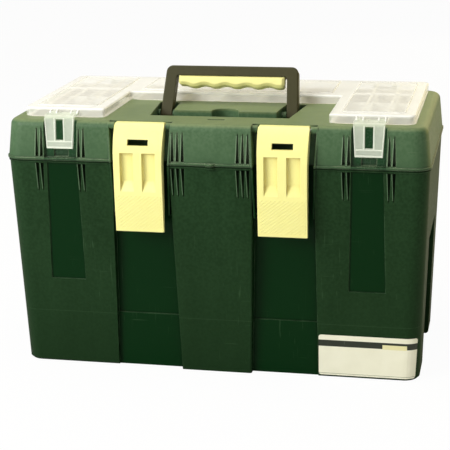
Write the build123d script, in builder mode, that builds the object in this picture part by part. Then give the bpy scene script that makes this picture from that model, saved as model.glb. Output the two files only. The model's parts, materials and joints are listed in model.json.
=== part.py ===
"""A tackle box: a deep tub, a hinged lid with bins under a milky cover, two latches and a folding handle."""

from build123d import *
import math
import os

os.makedirs("parts", exist_ok=True)

# Driving dimensions, in millimetres. X is to the right, Y to the back and Z up.
# The origin is on the floor, under the middle of the tub.

# Tub and lid shells
rim_width = 430.0
rim_depth = 224.0
tub_height = 220.0
lid_height = 40.0
wall = 3.0
corner_radius = 16.0
side_draft = 7.0
front_draft = 11.0
lid_draft = 3.7
rim_step = 1.6
rim_gap = 0.4
bead_proud = 0.9
bead_height = 2.2
lid_edge_radius = 7.0
base_edge = 2.0

# Underside of the tub
floor_thickness = 3.2
foot_height = 2.0
foot_edge = 20.0
foot_rib = 12.0
foot_corner = 6.0

# Front pilasters and the two latch channels between them
channel_inner_rim = 42.6
channel_inner_base = 36.5
channel_outer_rim = 102.0
channel_outer_base = 105.0
channel_depth_rim = 11.0
channel_depth_base = 5.5
lid_inner_flare = 2.4
lid_outer_flare = 2.6
kick_height = 57.5
kick_step = 1.5
centre_proud_rim = 6.0
centre_proud_base = 3.0
pilaster_edge_radius = 2.0

# Sunk panels on the outer pilasters, whose edges are counted from the clips' middles
panel_inner_rim = 16.7
panel_outer_rim = 14.5
panel_inner_base = 19.0
panel_outer_base = 17.4
panel_bottom = 93.5
panel_depth = 1.2

# Flutes above and below the rim, and the fins along the channels.
# The outer flutes are counted from the clips' middles, the centre ones from the middle plane.
outer_flute_steps = (-24.2, -19.3, 19.8, 24.6)
centre_flutes = (27.6, 32.7, 37.8)
flute_width = 3.1
flute_tip = 0.8
flute_length = 29.0
flute_depth = 5.2
flute_backing = 4.0
fin_thickness = 1.6
fin_proud = 2.4
fin_lean = 1.6
tub_fin_length = 52.0
lid_fin_length = 29.0

# Padlock tabs in the middle of the rim
tab_radius = 5.5
tab_thickness = 2.4
tab_reach = 4.0
tab_hole_radius = 1.5

# Recess in each end wall
recess_half = 46.0
recess_depth = 6.0
recess_full_height = 107.0
recess_top = 136.0

# Rear hinges
hinge_inset = 95.0
hinge_reach = 7.4
hinge_barrel_radius = 5.5
hinge_pin_radius = 2.0
hinge_web = 10.0
lid_knuckle = 26.0
tub_knuckle = 16.0
knuckle_gap = 0.5
running_gap = 0.06

# Tray and the rails that it hangs on
rail_width = 8.0
rail_thickness = 3.0
rail_drop = 24.0
rail_margin = 18.0
tray_shortfall = 8.0
tray_height = 52.0
tray_wall = 2.2
tray_corner = 8.0
tray_draft = 2.0
tray_flange = 2.6
tray_flange_corner = 12.0
tray_rise = 9.0
tray_rear_gap = 2.0
tray_side_gap = 1.4
tray_cells = 4
divider_thickness = 1.6
divider_gap = 0.25
guide_width = 1.5
guide_depth = 2.0
seat_gap = 0.3

# Handle well in the lid
well_margin = 42.0
well_front_half = 71.3
slot_run = 73.0
slot_rear_half = 78.4
bar_run = 30.5
island_front_half = 53.6
island_rear_half = 57.0
well_depth = 16.6
scoop_radius = 14.0
scoop_depth = 11.0
ledge_slot_length = 17.5
ledge_slot_width = 4.0
ledge_slot_depth = 2.0
ledge_slot_margin = 28.0

# Handle
handle_lean = 25.0
pivot_run = 54.0
pivot_drop = 9.0
handle_reach = 51.5
bail_thickness = 11.0
bar_height = 10.5
leg_outer_low = 72.8
leg_outer_high = 69.7
leg_inner_low = 60.8
leg_inner_high = 58.5
bail_outer_radius = 7.0
bail_inner_radius = 2.0
bail_edge = 1.2
heel_radius = 4.0
handle_pin_radius = 2.5
handle_boss_radius = 5.0
handle_side_gap = 0.7
grip_bumps = 5
grip_height = 11.0
grip_thickness = 13.0
grip_pitch = 22.5
grip_wave = 1.1
grip_edge = 2.6
grip_corner = 3.5

# Bins in the lid and the cover over them
cover_side_margin = 17.0
cover_front_margin = 23.0
cover_rear_margin = 9.0
notch_half = 113.5
notch_gap = 8.3
cover_height = 9.0
cover_wall = 2.0
cover_gap = 0.3
cover_corner = 7.0
notch_corner = 3.0
cover_edge = 1.2
panel_margin = 11.0
panel_rise = 0.8
bin_margin = 5.0
bin_depth = 30.5
bin_wall = 2.4
bin_corner = 5.0
bin_flange = 2.2
bin_lip = 1.6
bin_web = 6.0
wing_cross_share = 0.66
wing_columns = 3
rear_cells = 5
divider_drop = 2.5

# Hinge of the cover
cover_hinge_inset = 48.0
cover_axis_reach = 4.0
cover_axis_rise = 1.6
cover_barrel_radius = 3.2
cover_pin_radius = 1.25
cover_knuckle = 16.0
cover_ear = 4.0

# Clips on the cover
clip_inset = 43.0
clip_top_half = 15.8
clip_toe_half = 13.4
clip_thickness = 2.2
clip_toe_height = 13.0
clip_stand = 0.6
clip_axis_reach = 3.2
clip_axis_rise = 4.0
clip_bend_radius = 2.5
clip_window_width = 8.0
clip_window_height = 21.0
clip_window_sill = 7.5
clip_knuckle_radius = 2.2
clip_stub_radius = 1.2
clip_ear_inner = 7.6
clip_ear_outer = 14.2
clip_ear = 1.5
clip_ear_room = 1.8
clip_channel_half = 17.2
clip_channel_depth = 3.4
catch_recess_half = 7.5
catch_recess_height = 7.0
catch_recess_depth = 2.0
catch_ridge_height = 1.6
catch_ridge_proud = 0.9
catch_gap = 0.4

# Latches
latch_half = 24.6
latch_top_half = 25.5
latch_length = 109.0
latch_top_radius = 6.7
latch_top_turn = 53.0
latch_brow_radius = 62.0
latch_face_radius = 790.0
latch_plate = 3.2
latch_flange = 3.2
latch_flange_depth = 7.0
latch_toe_depth = 3.6
latch_barrel_radius = 4.2
latch_barrel_gap = 0.6
latch_pin_radius = 1.5
latch_corner = 4.0
slot_length = 21.0
slot_height = 6.0
slot_drop = 18.5
pocket_width = 13.5
pocket_offset = 11.2
pocket_top_drop = 28.6
pocket_length = 39.0
pocket_depth = 8.0
pocket_backing = 2.0
keeper_half = 15.0
keeper_drop = 9.0
keeper_height = 7.0
keeper_reach = 11.5
hook_height = 6.0

# Values that follow from the driving dimensions
outside = rim_depth
spill = 1.0
lid_bottom = tub_height + rim_gap
lid_top = lid_bottom + lid_height
floor_top = foot_height + floor_thickness
cover_bottom = lid_top + cover_gap
cover_top = cover_bottom + cover_height
channel_middle = (channel_inner_rim + channel_outer_rim) / 2
rim_front = -rim_depth / 2
hinge_x = rim_width / 2 - hinge_inset
rail_top = tub_height - rail_drop
rail_length = rim_depth - 2 * rail_margin
tray_depth = rim_depth / 2 - tray_shortfall
well_front = rim_front + well_margin
slot_rear = well_front + slot_run
island_front = well_front + bar_run
pivot_y = well_front + pivot_run
ledge_slot_y = rim_front + ledge_slot_margin
cover_half = rim_width / 2 - cover_side_margin
cover_front = rim_front + cover_front_margin
cover_rear = rim_depth / 2 - cover_rear_margin
notch_rear = slot_rear + notch_gap
cover_hinge_x = cover_half - cover_hinge_inset
clip_x = cover_half - clip_inset
outer_flutes = [clip_x + step for step in outer_flute_steps]
sides = ((-1, "left"), (1, "right"))


def tub_outline(level, inset=0.0):
    """Width, depth and corner radius of the tub at a height, drawn in by an inset."""
    lean = 1 - level / tub_height
    width = rim_width - 2 * (rim_step + side_draft * lean + inset)
    depth = rim_depth - 2 * (rim_step + front_draft * lean + inset)
    return width, depth, corner_radius - inset


def lid_outline(level, inset=0.0):
    """Width, depth and corner radius of the lid at a height, drawn in by an inset."""
    rise = (level - lid_bottom) / lid_height
    width = rim_width - 2 * (bead_proud + lid_draft * rise + inset)
    depth = rim_depth - 2 * (bead_proud + lid_draft * rise + inset)
    return width, depth, corner_radius - inset


def tub_side(level):
    """Half the tub's width at a height."""
    return tub_outline(level)[0] / 2


def tub_front(level):
    """Y of the outer pilasters' face on the tub."""
    return -tub_outline(level)[1] / 2


def tub_centre_front(level):
    """Y of the centre pilaster's face on the tub."""
    proud = centre_proud_base + (centre_proud_rim - centre_proud_base) * level / tub_height
    return tub_front(level) - proud


def lid_front(level):
    """Y of the outer pilasters' face on the lid."""
    return -lid_outline(level)[1] / 2


def lid_centre_front(level):
    """Y of the centre pilaster's face on the lid."""
    return lid_front(level) - centre_proud_rim


def channel_inner(level):
    """Distance from the middle plane to a channel's inner edge on the tub."""
    return channel_inner_base + (channel_inner_rim - channel_inner_base) * level / tub_height


def channel_outer(level):
    """Distance from the middle plane to a channel's outer edge on the tub."""
    return channel_outer_base + (channel_outer_rim - channel_outer_base) * level / tub_height


def channel_floor(level):
    """Y of a channel's floor on the tub, above its kick line."""
    depth = channel_depth_base + (channel_depth_rim - channel_depth_base) * level / tub_height
    return tub_front(level) + depth


def span(side, near, far):
    """Low and high x of a stretch given by its distances from the middle plane, on one side."""
    return (near, far) if side > 0 else (-far, -near)


def drafted_box(low_outline, low_level, high_outline, high_level, y_middle=0.0):
    """A box with rounded corners that changes evenly from one outline to another."""
    with BuildPart() as box:
        for outline, level in ((low_outline, low_level), (high_outline, high_level)):
            with BuildSketch(Plane.XY.offset(level)):
                with Locations((0, y_middle)):
                    RectangleRounded(*outline)
        loft(ruled=True)
    return box.part


def rounded_block(x_low, x_high, y_low, y_high, low, high, corner):
    """An upright block with rounded corners between two heights."""
    with BuildPart() as block:
        with BuildSketch(Plane.XY.offset(low)):
            with Locations(((x_low + x_high) / 2, (y_low + y_high) / 2)):
                RectangleRounded(x_high - x_low, y_high - y_low, corner)
        extrude(amount=high - low)
    return block.part


def plain_block(x_low, x_high, y_low, y_high, low, high):
    """An upright block with square corners between two heights."""
    return tapered_block((x_low, x_high, y_low, y_high, low), (x_low, x_high, y_low, y_high, high))


def tapered_block(low, high):
    """A block between two level rectangles, each given as (x low, x high, y low, y high, level)."""
    x_low, x_high, y_low, y_high, level = low
    far_x_low, far_x_high, far_y_low, far_y_high, far_level = high
    upright = Plane((x_low, y_high, level), x_dir=(1, 0, 0), z_dir=(0, -1, 0))
    with BuildPart(upright) as block:
        Wedge(
            x_high - x_low, far_level - level, y_high - y_low,
            far_x_low - x_low, y_high - far_y_high, far_x_high - x_low, y_high - far_y_low,
            align=Align.NONE,
        )
    return block.part


def bar_along_x(points, x_low, x_high):
    """A straight bar between two x values, with a section of (y, z) points."""
    with BuildPart() as bar:
        with BuildSketch(Plane.YZ.offset(x_low)):
            with BuildLine():
                Polyline(*points, close=True)
            make_face()
        extrude(amount=x_high - x_low)
    return bar.part


def bar_along_y(points, y_low, y_high):
    """A straight bar between two y values, with a section of (x, z) points."""
    with BuildPart() as bar:
        with BuildSketch(Plane.XZ.offset(-y_high)):
            with BuildLine():
                Polyline(*points, close=True)
            make_face()
        extrude(amount=y_high - y_low)
    return bar.part


def rod_along_x(radius, y, z, x_low, x_high):
    """A round rod between two x values."""
    with BuildPart() as rod:
        with BuildSketch(Plane.YZ.offset(x_low)):
            with Locations((y, z)):
                Circle(radius)
        extrude(amount=x_high - x_low)
    return rod.part


def tub_channel(side, spread):
    """The space of one latch channel on the tub, or its backing when spread by a wall."""
    levels = ((-spill, kick_height, kick_step), (kick_height, tub_height + spill, 0.0))
    with BuildPart() as space:
        for low_level, high_level, step in levels:
            ends = []
            for level in (low_level, high_level):
                x_low, x_high = span(side, channel_inner(level) - spread, channel_outer(level) + spread)
                ends.append((x_low, x_high, -outside, channel_floor(level) - step + spread, level))
            add(tapered_block(*ends))
    return space.part


def lid_channel_edges(level):
    """Distances from the middle plane to a channel's two edges on the lid, which flares towards its top."""
    rise = (level - lid_bottom) / lid_height
    return channel_inner_rim - lid_inner_flare * rise, channel_outer_rim + lid_outer_flare * rise


def lid_channel(side, spread):
    """The space of one latch channel on the lid, or its backing when spread by a wall."""
    ends = []
    for level in (lid_bottom - spill, lid_top + spill):
        inner, outer = lid_channel_edges(level)
        x_low, x_high = span(side, inner - spread, outer + spread)
        ends.append((x_low, x_high, -outside, channel_floor(tub_height) + spread, level))
    return tapered_block(*ends)


def end_recess(side, spread):
    """The space of the recess in one end wall, or its backing when spread by a wall."""
    points = (
        (side * rim_width, -spill),
        (side * rim_width, recess_top + spread),
        (side * (tub_side(recess_top) - spread), recess_top + spread),
        (side * (tub_side(recess_full_height) - recess_depth - spread), recess_full_height + spread),
        (side * (tub_side(0) - recess_depth - spread), -spill),
    )
    return bar_along_y(points, -recess_half - spread, recess_half + spread)


def flute(face, x, start, length):
    """A claw-shaped groove in a front face, widest and deepest at its start."""
    end = start + length
    ends = [
        (x - flute_width / 2, x + flute_width / 2, -outside, face(start) + flute_depth, start),
        (x - flute_tip / 2, x + flute_tip / 2, -outside, face(end) + flute_tip, end),
    ]
    return tapered_block(*sorted(ends, key=lambda rectangle: rectangle[-1]))


def fin(side, outward, ends):
    """A fin on a channel's edge, between two ends given as (level, edge, front y, rear y)."""
    rectangles = []
    for level, edge, front_y, rear_y in ends:
        near, far = sorted((edge, edge + outward * fin_thickness))
        rectangles.append((*span(side, near, far), front_y, rear_y, level))
    return tapered_block(*rectangles)


def flute_pads(front, centre, low, high):
    """Blocks that keep a wall thick behind its flutes, between two heights."""
    pads = []
    for side, side_name in sides:
        for face, first, last in (
            (front, outer_flutes[0], outer_flutes[1]),
            (front, outer_flutes[2], outer_flutes[3]),
            (centre, centre_flutes[0], centre_flutes[-1]),
        ):
            x_low, x_high = span(side, first - flute_width, last + flute_width)
            inner = max(face(low), face(high)) + wall + flute_backing
            pads.append(plain_block(x_low, x_high, -outside, inner, low, high))
    return pads


def padlock_tab(level, face_y):
    """A holed tab that stands out from the middle of the front rim."""
    with BuildPart() as tab:
        with BuildSketch(Plane.XY.offset(level)):
            with Locations((0, face_y + tab_radius - tab_reach)):
                Circle(tab_radius)
            with Locations((0, face_y - tab_hole_radius)):
                Circle(tab_hole_radius, mode=Mode.SUBTRACT)
        extrude(amount=tab_thickness)
    return tab.part


# Tub
hinge_y = rim_depth / 2 + hinge_reach
hinge_z = tub_height + rim_gap / 2
tub_flute_start = tub_height - bead_height - spill
rail_wall = tub_side(rail_top) - wall
keeper_bottom = tub_height - keeper_drop - keeper_height
keeper_tip = channel_floor(tub_height) - keeper_reach

with BuildPart() as tub_cavity:
    add(drafted_box(tub_outline(floor_top, wall), floor_top,
                    tub_outline(tub_height + spill, wall), tub_height + spill))
    add(tapered_block(*[
        (wall - channel_inner(level), channel_inner(level) - wall, tub_centre_front(level) + wall, 0, level)
        for level in (floor_top, tub_height + spill)
    ]))
    backings = [tub_channel(side, wall) for side, side_name in sides]
    backings += [end_recess(side, wall) for side, side_name in sides]
    backings += flute_pads(tub_front, tub_centre_front, tub_flute_start - flute_length, tub_height + spill)
    add(backings, mode=Mode.SUBTRACT)


def sunk_panel(side):
    """The shallow recess of the panel on one outer pilaster."""
    ends = []
    for level, near, far in (
        (panel_bottom, clip_x - panel_inner_base, clip_x + panel_outer_base),
        (tub_height - bead_height, clip_x - panel_inner_rim, clip_x + panel_outer_rim),
    ):
        ends.append((*span(side, near, far), -outside, tub_front(level) + panel_depth, level))
    return tapered_block(*ends)


def tub_fin(side, edge, outward, face):
    """A fin that runs down from the rim and leans in towards the latch as it tapers away."""
    fin_end = tub_height - tub_fin_length
    return fin(side, outward, (
        (fin_end, edge - outward * fin_lean, face(fin_end), channel_floor(fin_end) + spill),
        (tub_height, edge, face(tub_height) - fin_proud, channel_floor(tub_height) + spill),
    ))


def keeper(side):
    """The ledge on a channel's floor that a latch's hook reaches under."""
    points = (
        (channel_floor(keeper_bottom) + spill, keeper_bottom),
        (keeper_tip, keeper_bottom),
        (keeper_tip, keeper_bottom + keeper_height / 2),
        (channel_floor(tub_height) + spill, keeper_bottom + keeper_height),
    )
    return bar_along_x(points, side * channel_middle - keeper_half, side * channel_middle + keeper_half)


def tray_rail(side):
    """The rail on one end wall that the tray's flange slides on."""
    points = (
        (side * (rail_wall + spill), rail_top),
        (side * (rail_wall - rail_width), rail_top),
        (side * (rail_wall - rail_width), rail_top - rail_thickness),
        (side * (rail_wall + spill), rail_top - rail_thickness - rail_width),
    )
    return bar_along_y(points, -rail_length / 2, rail_length / 2)


def tub_knuckle_spans():
    """Low and high x of the tub's four hinge knuckles."""
    spans = []
    for side, side_name in sides:
        for half in (-1, 1):
            near = side * hinge_x + half * (lid_knuckle / 2 + knuckle_gap)
            spans.append(sorted((near, near + half * tub_knuckle)))
    return spans


web_foot = hinge_z - hinge_barrel_radius - hinge_web
tub_web = (
    (tub_outline(tub_height)[1] / 2 - spill, tub_height),
    (hinge_y, tub_height),
    (hinge_y, hinge_z - hinge_barrel_radius),
    (tub_outline(web_foot)[1] / 2 - spill, web_foot),
)

with BuildPart() as tub:
    add(drafted_box(tub_outline(0, base_edge), 0, tub_outline(base_edge), base_edge))
    add(drafted_box(tub_outline(base_edge), base_edge, tub_outline(tub_height), tub_height))
    with BuildSketch(Plane.XY.offset(tub_height - bead_height)):
        RectangleRounded(*tub_outline(tub_height, -bead_proud))
    extrude(amount=bead_height)
    cuts = [tub_channel(side, 0) for side, side_name in sides]
    cuts += [end_recess(side, 0) for side, side_name in sides]
    cuts += [sunk_panel(side) for side, side_name in sides]
    add(cuts, mode=Mode.SUBTRACT)
    add(tapered_block(*[
        (-channel_inner(level), channel_inner(level), tub_centre_front(level), 0, level)
        for level in (0, tub_height)
    ]))
    upright_edges = tub.edges().filter_by(lambda edge: edge.length > tub_height)
    fillet(upright_edges.group_by(Axis.Y)[0], pilaster_edge_radius)
    cuts = [tub_cavity.part]
    joins = [padlock_tab(tub_height - tab_thickness, tub_centre_front(tub_height))]
    joins.append(plain_block(
        -channel_inner_rim, channel_inner_rim,
        tub_centre_front(tub_height) - bead_proud, tub_centre_front(tub_height) + spill,
        tub_height - bead_height, tub_height,
    ))
    for side, side_name in sides:
        cuts += [flute(tub_front, side * x, tub_flute_start, -flute_length) for x in outer_flutes]
        cuts += [flute(tub_centre_front, side * x, tub_flute_start, -flute_length) for x in centre_flutes]
        joins.append(tub_fin(side, channel_inner_rim, -1, tub_centre_front))
        joins.append(tub_fin(side, channel_outer_rim, 1, tub_front))
        joins.append(keeper(side))
        joins.append(tray_rail(side))
    for x_low, x_high in tub_knuckle_spans():
        joins.append(bar_along_x(tub_web, x_low, x_high))
        joins.append(rod_along_x(hinge_barrel_radius, hinge_y, hinge_z, x_low, x_high))
    add(cuts, mode=Mode.SUBTRACT)
    add(joins)
    bores = [rod_along_x(hinge_pin_radius, hinge_y, hinge_z, *ends) for ends in tub_knuckle_spans()]
    add(bores, mode=Mode.SUBTRACT)
    # Pockets in the underside, which leave a rim and a cross to stand on
    pocket_x = (tub_outline(0)[0] - 2 * foot_edge - foot_rib) / 2
    pocket_y = (tub_outline(0)[1] - 2 * foot_edge - foot_rib) / 2
    with BuildSketch(Plane.XY):
        with GridLocations(pocket_x + foot_rib, pocket_y + foot_rib, 2, 2):
            RectangleRounded(pocket_x, pocket_y, foot_corner)
    extrude(amount=foot_height, mode=Mode.SUBTRACT)
tub.part.label = "tub"
export_step(tub.part, "parts/tub.step")

for side, side_name in sides:
    with BuildPart() as hinge_pin:
        pin_half = lid_knuckle / 2 + knuckle_gap + tub_knuckle
        x_middle = side * hinge_x
        add(rod_along_x(hinge_pin_radius, hinge_y, hinge_z, x_middle - pin_half, x_middle + pin_half))
    hinge_pin.part.label = f"hinge_pin_{side_name}"
    export_step(hinge_pin.part, f"parts/hinge_pin_{side_name}.step")

# Lid
pivot_z = lid_top - pivot_drop
well_floor = lid_top - well_depth
bin_floor = lid_top - bin_depth
wing_near = notch_half + bin_margin
wing_far = cover_half - bin_margin
wing_front = cover_front + bin_margin
bin_rear = cover_rear - bin_margin
strip_front = notch_rear + bin_margin
strip_half = wing_near - 2 * bin_wall - bin_web
wing_cross_y = wing_front + (bin_rear - wing_front) * wing_cross_share
lid_flute_start = lid_bottom + bead_height + spill
latch_axis_y = channel_floor(tub_height) - latch_barrel_gap - latch_barrel_radius
latch_axis_z = lid_top - latch_barrel_radius
cover_axis_y = cover_rear + cover_axis_reach
cover_axis_z = lid_top + cover_axis_rise
clip_toe = lid_bottom + clip_toe_height
slot_share = (pivot_y - well_front) / (slot_rear - well_front)
slot_outer = well_front_half + (slot_rear_half - well_front_half) * slot_share
island_share = (pivot_y - island_front) / (slot_rear - island_front)
slot_inner = island_front_half + (island_rear_half - island_front_half) * island_share
hinge_places = (-cover_hinge_x, 0.0, cover_hinge_x)
latch_pin_inner, latch_pin_outer = lid_channel_edges(latch_axis_z)


def bins(spread, low, high):
    """The spaces of the three bins, or their backing when spread by a wall."""
    spaces = [rounded_block(-strip_half - spread, strip_half + spread, strip_front - spread,
                            bin_rear + spread, low, high, bin_corner + spread)]
    for side, side_name in sides:
        x_low, x_high = span(side, wing_near - spread, wing_far + spread)
        spaces.append(rounded_block(x_low, x_high, wing_front - spread, bin_rear + spread,
                                    low, high, bin_corner + spread))
    return spaces


def handle_well(spread, low, high):
    """The U-shaped space that the handle folds into, or its backing when spread by a wall."""
    with BuildPart() as space:
        with BuildSketch(Plane.XY.offset(low)):
            with BuildLine():
                Polyline(
                    (-well_front_half, well_front), (well_front_half, well_front),
                    (slot_rear_half, slot_rear), (island_rear_half, slot_rear),
                    (island_front_half, island_front), (-island_front_half, island_front),
                    (-island_rear_half, slot_rear), (-slot_rear_half, slot_rear),
                    close=True,
                )
            make_face()
            if spread:
                offset(amount=spread)
        extrude(amount=high - low)
    return space.part


def finger_scoop(spread, low, high):
    """The round space for a fingertip in the island's front edge, or its backing when spread by a wall."""
    with BuildPart() as space:
        with BuildSketch(Plane.XY.offset(low)):
            with Locations((0, island_front)):
                Circle(scoop_radius + spread)
        extrude(amount=high - low)
    return space.part


def clip_channel(side, spread):
    """The space of the channel that a clip hangs in, or its backing when spread by a wall."""
    x_low, x_high = span(side, clip_x - clip_channel_half - spread, clip_x + clip_channel_half + spread)
    return tapered_block(*[
        (x_low, x_high, -outside, lid_front(level) + clip_channel_depth + spread, level)
        for level in (lid_bottom + bead_height - spread, lid_top + spill)
    ])


def catch_recess(side):
    """The finger recess in a clip channel's floor, below the clip's toe."""
    low = lid_bottom + bead_height + spill
    deep = lid_front(low) + clip_channel_depth + catch_recess_depth
    high = low + catch_recess_height
    x = side * clip_x
    return plain_block(x - catch_recess_half, x + catch_recess_half, -outside, deep, low, high)


ridge_low = clip_toe + 2 * catch_ridge_height
ridge_tip = lid_front(ridge_low) + clip_channel_depth - catch_ridge_proud


def catch_ridge(side):
    """The ridge on a clip channel's floor that the clip's bead snaps under."""
    top = ridge_low + catch_ridge_height
    points = (
        (lid_front(ridge_low) + clip_channel_depth + spill, ridge_low),
        (ridge_tip, ridge_low),
        (lid_front(top) + clip_channel_depth, top),
        (lid_front(top) + clip_channel_depth + spill, top),
    )
    return bar_along_x(points, side * clip_x - catch_recess_half, side * clip_x + catch_recess_half)


def lid_fin(side, inner, outward, face):
    """A fin that runs up from the lid's rim along a channel's inner or outer edge and tapers away."""
    rear_y = channel_floor(tub_height) + spill
    fin_end = lid_bottom + lid_fin_length
    which = 0 if inner else 1
    return fin(side, outward, (
        (lid_bottom, lid_channel_edges(lid_bottom)[which], face(lid_bottom) - fin_proud, rear_y),
        (fin_end, lid_channel_edges(fin_end)[which], face(fin_end), rear_y),
    ))


ear_foot = lid_top - lid_edge_radius - cover_ear
cover_ear_section = (
    (cover_axis_y - cover_barrel_radius, cover_axis_z),
    (cover_axis_y + cover_barrel_radius, cover_axis_z),
    (cover_axis_y + cover_barrel_radius, lid_top - cover_ear),
    (-lid_front(ear_foot) - spill, ear_foot),
    (cover_axis_y - cover_barrel_radius, lid_top - cover_ear),
)
lid_web_top = hinge_z + hinge_barrel_radius + hinge_web
lid_web = (
    (-lid_front(lid_bottom) - spill, lid_bottom),
    (hinge_y, lid_bottom),
    (hinge_y, hinge_z + hinge_barrel_radius),
    (-lid_front(lid_web_top) - spill, lid_web_top),
)

with BuildPart() as lid_cavity:
    add(drafted_box(lid_outline(lid_bottom - spill, wall), lid_bottom - spill,
                    lid_outline(lid_top - wall, wall), lid_top - wall))
    add(tapered_block(*[
        (wall - lid_channel_edges(level)[0], lid_channel_edges(level)[0] - wall,
         lid_centre_front(level) + wall, 0, level)
        for level in (lid_bottom - spill, lid_top - wall)
    ]))
    backings = [lid_channel(side, wall) for side, side_name in sides]
    backings += [clip_channel(side, wall) for side, side_name in sides]
    backings += flute_pads(lid_front, lid_centre_front, lid_bottom - spill, lid_flute_start + flute_length)
    backings.append(handle_well(wall, well_floor - wall, lid_top))
    backings.append(finger_scoop(wall, lid_top - scoop_depth - wall, lid_top))
    add(backings, mode=Mode.SUBTRACT)

with BuildPart() as lid_centre:
    add(tapered_block(*[
        (-lid_channel_edges(level)[0], lid_channel_edges(level)[0], lid_centre_front(level), 0, level)
        for level in (lid_bottom, lid_top)
    ]))
    front_edges = lid_centre.edges().group_by(Axis.Z)[-1].filter_by(Axis.X)
    fillet(front_edges.sort_by(Axis.Y)[0], lid_edge_radius)
    fillet(lid_centre.edges().filter_by(lambda edge: edge.length > lid_height / 2).group_by(Axis.Y)[0],
           pilaster_edge_radius)
    add(tapered_block(*[
        (-lid_channel_edges(level)[0], lid_channel_edges(level)[0],
         lid_centre_front(lid_bottom) - bead_proud, 0, level)
        for level in (lid_bottom, lid_bottom + bead_height)
    ]))

with BuildPart() as lid:
    add(drafted_box(lid_outline(lid_bottom), lid_bottom, lid_outline(lid_top), lid_top))
    fillet(lid.edges().group_by(Axis.Z)[-1], lid_edge_radius)
    with BuildSketch(Plane.XY.offset(lid_bottom)):
        RectangleRounded(*lid_outline(lid_bottom, -bead_proud))
    extrude(amount=bead_height)
    add([lid_channel(side, 0) for side, side_name in sides], mode=Mode.SUBTRACT)
    add(lid_centre.part)
    cuts = [lid_cavity.part, handle_well(0, well_floor, lid_top + spill)]
    # Openings for the three bins, each with a ledge for the bin's flange
    cuts += bins(bin_wall + seat_gap, lid_top - wall - spill, lid_top + spill)
    cuts += bins(bin_wall + bin_flange + seat_gap, lid_top - bin_lip, lid_top + spill)
    cuts.append(finger_scoop(0, lid_top - scoop_depth, lid_top + spill))
    cuts.append(plain_block(
        -ledge_slot_length / 2, ledge_slot_length / 2,
        ledge_slot_y - ledge_slot_width / 2, ledge_slot_y + ledge_slot_width / 2,
        lid_top - ledge_slot_depth, lid_top + spill,
    ))
    joins = [padlock_tab(lid_bottom, lid_centre_front(lid_bottom))]
    bores = []
    for side, side_name in sides:
        cuts += [flute(lid_front, side * x, lid_flute_start, flute_length) for x in outer_flutes]
        cuts += [flute(lid_centre_front, side * x, lid_flute_start, flute_length) for x in centre_flutes]
        cuts.append(clip_channel(side, 0))
        cuts.append(catch_recess(side))
        joins.append(catch_ridge(side))
        joins.append(lid_fin(side, True, -1, lid_centre_front))
        joins.append(lid_fin(side, False, 1, lid_front))
        knuckle = (side * hinge_x - lid_knuckle / 2, side * hinge_x + lid_knuckle / 2)
        joins.append(bar_along_x(lid_web, *knuckle))
        joins.append(rod_along_x(hinge_barrel_radius, hinge_y, hinge_z, *knuckle))
        bores.append(rod_along_x(hinge_pin_radius + running_gap, hinge_y, hinge_z, *knuckle))
        outer_boss = span(side, leg_outer_low + handle_side_gap, slot_outer + spill)
        inner_boss = span(side, slot_inner - spill, leg_inner_low - handle_side_gap)
        joins.append(rod_along_x(handle_boss_radius, pivot_y, pivot_z, *outer_boss))
        joins.append(rod_along_x(handle_boss_radius, pivot_y, pivot_z, *inner_boss))
        bores.append(rod_along_x(handle_pin_radius, pivot_y, pivot_z,
                                 *span(side, slot_inner - wall, slot_outer + wall)))
        inner_boss = span(side, latch_pin_inner - spill, channel_middle - latch_top_half - handle_side_gap)
        outer_boss = span(side, channel_middle + latch_top_half + handle_side_gap, latch_pin_outer + spill)
        latch_boss_radius = latch_barrel_radius - latch_barrel_gap
        joins.append(rod_along_x(latch_boss_radius, latch_axis_y, latch_axis_z, *inner_boss))
        joins.append(rod_along_x(latch_boss_radius, latch_axis_y, latch_axis_z, *outer_boss))
        bores.append(rod_along_x(latch_pin_radius, latch_axis_y, latch_axis_z,
                                 *span(side, latch_pin_inner - wall, latch_pin_outer + wall)))
    for x in hinge_places:
        for half in (-1, 1):
            near = x + half * (cover_knuckle / 2 + knuckle_gap)
            x_low, x_high = sorted((near, near + half * cover_ear))
            joins.append(bar_along_x(cover_ear_section, x_low, x_high))
            joins.append(rod_along_x(cover_barrel_radius, cover_axis_y, cover_axis_z, x_low, x_high))
            bores.append(rod_along_x(cover_pin_radius, cover_axis_y, cover_axis_z, x_low, x_high))
    add(cuts, mode=Mode.SUBTRACT)
    add(joins)
    add(bores, mode=Mode.SUBTRACT)
lid.part.label = "lid"
export_step(lid.part, "parts/lid.step")

for side, side_name in sides:
    with BuildPart() as latch_pin:
        add(rod_along_x(latch_pin_radius, latch_axis_y, latch_axis_z,
                        *span(side, latch_pin_inner - wall, latch_pin_outer + wall)))
    latch_pin.part.label = f"latch_pin_{side_name}"
    export_step(latch_pin.part, f"parts/latch_pin_{side_name}.step")
    with BuildPart() as handle_pin:
        add(rod_along_x(handle_pin_radius, pivot_y, pivot_z,
                        *span(side, slot_inner - wall, slot_outer + wall)))
    handle_pin.part.label = f"handle_pin_{side_name}"
    export_step(handle_pin.part, f"parts/handle_pin_{side_name}.step")

with BuildPart() as cover_hinge_pins:
    for x in hinge_places:
        pin_half = cover_knuckle / 2 + knuckle_gap + cover_ear
        add(rod_along_x(cover_pin_radius, cover_axis_y, cover_axis_z, x - pin_half, x + pin_half))
cover_hinge_pins.part.label = "cover_hinge_pins"
export_step(cover_hinge_pins.part, "parts/cover_hinge_pins.step")

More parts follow.
